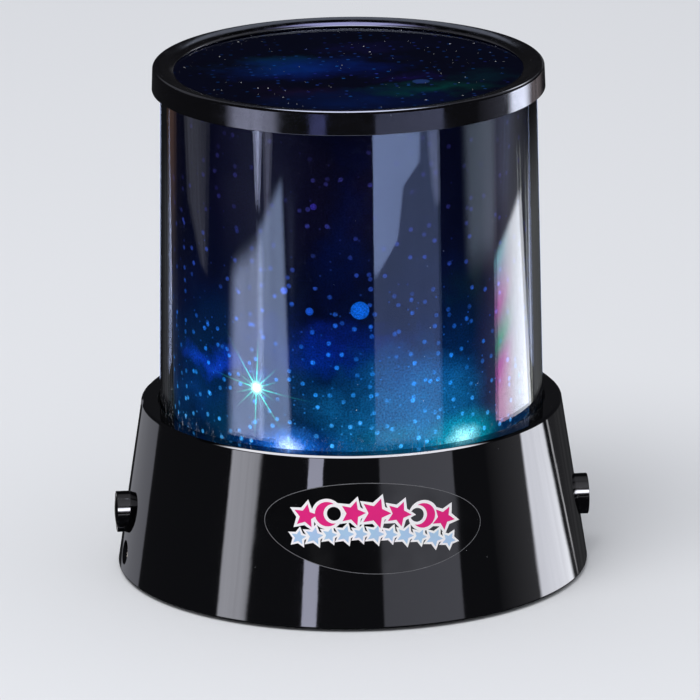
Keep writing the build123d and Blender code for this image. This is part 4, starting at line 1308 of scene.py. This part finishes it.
wallCards = {  # the sticker stands a little off this one
    "leftNarrow": {"levels": ((-60, -25.6, -18.8), (80, -21.4, -12.7)), "colour": "#eceeff", "power": 1.4,
        "soft": (0.08, 0.08), "up": (1.12, 0.9)},
}
labelCards = {
    "labelLow": {"levels": ((-60, -25.6, -8), (20, -21.4, -8)), "colour": "#ffffff", "power": 0.16,
        "soft": (0.3, 0.3), "up": (1.0, 0.0)},
}
buttonCards = {
    "buttonKey": {"box": (-14, 38, 240, 740), "colour": "#ffffff", "power": 4.6, "soft": (0.12, 0.12),
        "fade": (0.4, 0.55)},
    "buttonTop": {"box": (-90, 90, 1000, 1000), "reach": (-0.9, 1.0), "colour": "#ffffff", "power": 0.16,
        "soft": (0.1, 0.1), "fade": (0.1, 0.02), "up": (0.3, 1.0)},
    "buttonLow": {"box": (-14, 38, -50, 15), "colour": "#ffffff", "power": 0.7, "soft": (0.2, 0.2),
        "fade": (0.3, 0.3), "streaks": (7, 0.9)},
    "buttonBack": {"box": (172, 200, -420, -60), "colour": "#ffffff", "power": 0.6, "soft": (0.2, 0.2),
        "fade": (0.2, 0.2), "up": (1.0, 0.3)},
}
inletCards = {
    "inletGlow": {"box": (-180, 0, -500, 600), "steps": 48, "colour": "#ffffff", "power": 7.0,
        "soft": (0.1, 0.1), "fade": (0.1, 0.1), "streaks": (30, 0.9)},
}
tubeCards = {
    "leftPlateHigh": {"corners": ((-57, -330), (-27, -330), (-57, -115), (-40.5, -91)), "colour": "#bcd2ff",
        "power": 3.4, "soft": (0.1, 0.1), "fade": (0.001, 0.03), "up": (1.15, 0.95), "streaks": (3, 0.14)},
    "leftPlateLow": {"corners": ((-84, -330), (-53, -330), (-77.5, -133), (-53, -113)), "colour": "#c6d6ff",
        "power": 4.2, "soft": (0.28, 0.05), "fade": (0.001, 0.06), "up": (1.35, 0.85), "streaks": (3, 0.2)},
    "leftStripWide": {"levels": ((-112, -57.3, -56.2), (-60, -61, -53)), "colour": "#ced6fc", "power": 4.5,
        "soft": (0.1, 0.1), "fade": (0.15, 0.01)},
    "leftStripThin": {"levels": ((-120, -51.5, -50.0), (-60, -53.6, -45.6)), "colour": "#c8ccec",
        "power": 1.2, "soft": (0.1, 0.1), "fade": (0.2, 0.01)},
    "leftTailWide": {"levels": ((-185, -58.5, -55), (-113, -57.5, -55.5)), "colour": "#d0dcff",
        "power": 0.9, "soft": (0.4, 0.4), "fade": (0.6, 0.05)},
    "leftTailThin": {"levels": ((-175, -52.5, -49), (-113, -52, -49.8)), "colour": "#d0dcff", "power": 0.7,
        "soft": (0.4, 0.4), "fade": (0.6, 0.05)},
    "leftVeil": {"levels": ((-150, -36, -34), (-95, -40, -32)), "colour": "#9aa6d0", "power": 0.3,
        "soft": (0.4, 0.4), "fade": (0.3, 0.3)},
    "farLeft": {"levels": ((-148, -99, -96.5), (-126, -115, -95.3), (-60, -125, -93)), "colour": "#d2d6e6",
        "power": 0.46, "soft": (0.12, 0.06), "fade": (0.1, 0.01), "streaks": (5, 0.6)},
    "farLeftBrown": {"corners": ((-140, -185), (-132, -165), (-151, -60), (-130, -60)), "colour": "#ffc4a4",
        "power": 0.14, "soft": (0.2, 0.2), "fade": (0.6, 0.01), "streaks": (4, 0.5)},
    "farLeftLines": {"box": (-160, -128, -330, -110), "colour": "#c8ccd4", "power": 0.1, "soft": (0.2, 0.2),
        "fade": (0.1, 0.2), "streaks": (14, 1.0)},
    "rightSlate": {"levels": ((-330, 13.6, 55.3), (0, 13.4, 55.7)), "colour": "#a8c0ff", "power": 1.05,
        "soft": (0.02, 0.02), "streaks": (4, 0.12)},
    "rightPlate": {"levels": ((-131, 14.0, 14.6), (-118, 13.8, 29), (-99, 13.7, 33), (-92, 13.6, 43.4),
                              (-60, 13.4, 45.5)),
        "colour": "#b0c8ff", "power": 3.0, "soft": (0.04, 0.06), "fade": (0.06, 0.01),
        "across": (1.0, 0.85)},
    "rightStrip": {"levels": ((-112, 53.0, 55.2), (-102, 50.4, 55.4), (-90, 48.4, 55.4), (-60, 46.6, 55.4)),
        "colour": "#b8c4f0", "power": 1.5, "soft": (0.15, 0.03), "fade": (0.15, 0.01)},
    "midRight": {"corners": ((72, -146), (99, -150), (70, -40), (101, -40)), "colour": "#c6daf2",
        "power": 1.1, "soft": (0.25, 0.12), "fade": (0.18, 0.01), "streaks": (5, 0.2)},
    "midRightVeil": {"corners": ((97, -140), (112, -146), (97, -40), (136, -40)), "colour": "#8ea4d4",
        "power": 0.5, "soft": (0.1, 0.4), "fade": (0.3, 0.01), "streaks": (6, 0.5)},
    "farRight": {"corners": ((94.5, -330), (150, -330), (97.5, -141), (126.2, -128)), "colour": "#f4f8ff",
        "power": 3.9, "soft": (0.03, 0.06), "fade": (0.001, 0.03),
        "tints": ((0.7, "#ffb8dc"), (0.765, "#f058d0"), (0.81, "#38d090"), (0.88, "#f078d8"),
                  (0.97, "#98e4f4")),
        "tintWidth": 0.6, "up": (1.1, 0.85)},
    "farRightEdge": {"levels": ((-330, 136.5, 139.8), (-112, 135.0, 137.6)), "colour": "#f4f8ee",
        "power": 1.5, "soft": (0.2, 0.2), "fade": (0.001, 0.2), "streaks": (3, 0.7)},
    "farRightLine": {"levels": ((-134, 124.6, 126.6), (-112, 124.2, 125.4)), "colour": "#f4f8ee",
        "power": 1.0, "soft": (0.3, 0.3), "fade": (0.1, 0.3)},
    "farRightLimb": {"levels": ((-330, 136, 172), (-112, 134, 172)), "colour": "#eef2f4", "power": 0.1,
        "soft": (0.1, 0.3), "fade": (0.001, 0.2), "streaks": (7, 0.4)},
    "tubeBack": {"box": (172, 189, -330, -60), "colour": "#c4d4ff", "power": 2.6, "soft": (0.2, 0.1),
        "streaks": (4, 0.2)},
    "landLeft": {"box": (-84, -27, 284, 322), "colour": "#c6d6ff", "power": 3.4, "soft": (0.2, 0.2),
        "fade": (0.02, 0.1), "streaks": (5, 0.5)},
    "landRight": {"box": (13.6, 70, 284, 322), "colour": "#c6d6ff", "power": 1.8, "soft": (0.1, 0.3),
        "fade": (0.02, 0.1), "streaks": (5, 0.5)},
    "landFarRight": {"box": (96, 140, 284, 322), "colour": "#f4f8ff", "power": 3.6, "soft": (0.05, 0.1),
        "fade": (0.02, 0.1)},
}
ringCards = {
    "ringLeft": {"box": (-76, -37, -150, 60), "colour": "#dde2fb", "power": 1.1, "soft": (0.25, 0.3),
        "streaks": (6, 0.3)},
    "ringNarrow": {"box": (-22.4, -12.8, -150, 60), "colour": "#98a0f0", "power": 0.5, "soft": (0.1, 0.1),
        "streaks": (3, 0.3)},
    "ringWide": {"box": (14.4, 55.5, -150, 60), "colour": "#b8c2ea", "power": 0.34, "soft": (0.02, 0.02),
        "across": (0.85, 1.15)},
    "ringRamp": {"box": (78, 104, -150, 60), "colour": "#d8dcf0", "power": 0.17, "soft": (0.1, 0.1),
        "across": (0.1, 1.0)},
    "ringWhite": {"box": (103, 133, -150, 60), "colour": "#eef4ff", "power": 3.4, "soft": (0.25, 0.4)},
    "ringSmear": {"box": (122, 158, -150, 60), "colour": "#e8d8d8", "power": 0.42, "soft": (0.2, 0.5),
        "streaks": (9, 0.6)},
    "ringZenith": {"box": (-180, 180, 1100, 1100), "reach": (0.002, 0.46), "steps": 96, "colour": "#ecf2ff",
        "power": 3.5, "soft": (0.001, 0.001), "fade": (0.001, 0.25)},
    "ringBackHigh": {"box": (160, 200, 1275, 2600), "colour": "#ccccff", "power": 2.2, "soft": (0.3, 0.3),
        "fade": (0.1, 0.2)},
    "ringAroundRight": {"box": (100, 163, 320, 2500), "steps": 48, "colour": "#eceef4", "power": 0.2,
        "soft": (0.1, 0.1), "fade": (0.1, 0.1), "streaks": (14, 0.6)},
    "ringAroundLeft": {"box": (-163, -100, 320, 2500), "steps": 48, "colour": "#eceef4", "power": 0.2,
        "soft": (0.1, 0.1), "fade": (0.1, 0.1), "streaks": (14, 0.6)},
    "ringFront": {"box": (50, 112, 1000, 1000), "reach": (0.24, 0.62), "colour": "#e4eeff", "power": 0.7,
        "soft": (0.3, 0.3), "fade": (0.3, 0.3)},
    "ringBackLand": {"box": (170, 190, 560, 900), "colour": "#e4eeff", "power": 0.35, "soft": (0.2, 0.2),
        "fade": (0.06, 0.2)},
    "ringLeftSpot": {"box": (129, 154, 520, 920), "colour": "#f0f2f6", "power": 3.4, "soft": (0.4, 0.4),
        "fade": (0.4, 0.4)},
    "ringLeftEnd": {"box": (152, 176, 120, 330), "colour": "#f0f2f6", "power": 0.14, "soft": (0.3, 0.3),
        "fade": (0.3, 0.3)},
    "ringBelow": {"box": (-75, 75, -1200, -250), "colour": "#c8d0e8", "power": 2.2, "soft": (0.2, 0.2),
        "fade": (0.2, 0.2)},
    "ringGlow": {"box": (-180, 180, -900, 900), "steps": 96, "colour": "#e8e6f0", "power": 0.012,
        "soft": (0.001, 0.001)},
}
inletPieces = [bpy.data.objects["dc_jack"], bpy.data.objects["dc_jack_pin"]]
distance = 0.9
for cards, receivers in ((baseCards, [base, labelPiece]), (wallCards, [base]), (labelCards, [labelPiece]),
                         (buttonCards, buttonPieces), (tubeCards, [shellPiece, sleeve, disc]),
                         (inletCards, inletPieces), (ringCards, [ringPiece])):
    for name, look in cards.items():
        panel(name, look, distance, receivers)
        distance += 0.001  # so that no two cards share a place

world = bpy.data.worlds.new("studio")
bpy.context.scene.world = world
world.use_nodes = True
tree = world.node_tree
tree.nodes.clear()
path = addNode(tree, "LightPath")
code, strength = studio["sky"]
soft = addNode(tree, "Background", None, {"Color": srgb(code), "Strength": strength})
code, strength = studio["mirroredSky"]
dark = addNode(tree, "Background", None, {"Color": srgb(code), "Strength": strength})
seen = addNode(tree, "Math", {"operation": "MAXIMUM"}, {
    0: path.outputs["Is Camera Ray"], 1: path.outputs["Is Diffuse Ray"]})
sky = addNode(tree, "MixShader", None, {0: seen, 1: dark, 2: soft})
addNode(tree, "OutputWorld", None, {"Surface": sky})

deselectAll()
bpy.ops.object.light_add(type="AREA", location=studio["lampPlace"])
lamp = bpy.context.object
lamp.name = "softLamp"
lamp.data.shape = "DISK"
lamp.data.size = studio["lampSize"]
lamp.data.energy = studio["lampPower"]
lamp.rotation_euler = (Vector(studio["lampAim"]) - lamp.location).to_track_quat("-Z", "Y").to_euler()
lamp.visible_glossy = False
lamp.visible_transmission = False

# Camera

cameraLook = {"elevation": 15.87, "distance": 1.932, "aim": (-0.00024, 0, 0.0535), "rise": 0.0637,
              "lens": 408.8, "roll": -0.53}
lift = math.radians(cameraLook["elevation"])
back = cameraLook["distance"] * math.cos(lift)
spot = aroundObject(0, back, cameraLook["rise"] + cameraLook["distance"] * math.sin(lift))
deselectAll()
bpy.ops.object.camera_add(location=spot)
camera = bpy.context.object
camera.data.lens = cameraLook["lens"]
camera.data.sensor_width = 36
turn = (Vector(cameraLook["aim"]) - spot).to_track_quat("-Z", "Y").to_matrix().to_4x4()
camera.rotation_euler = (turn @ Matrix.Rotation(math.radians(cameraLook["roll"]), 4, "Z")).to_euler()
bpy.context.scene.camera = camera
bpy.context.scene.view_settings.view_transform = "Standard"
print("studio and camera made")
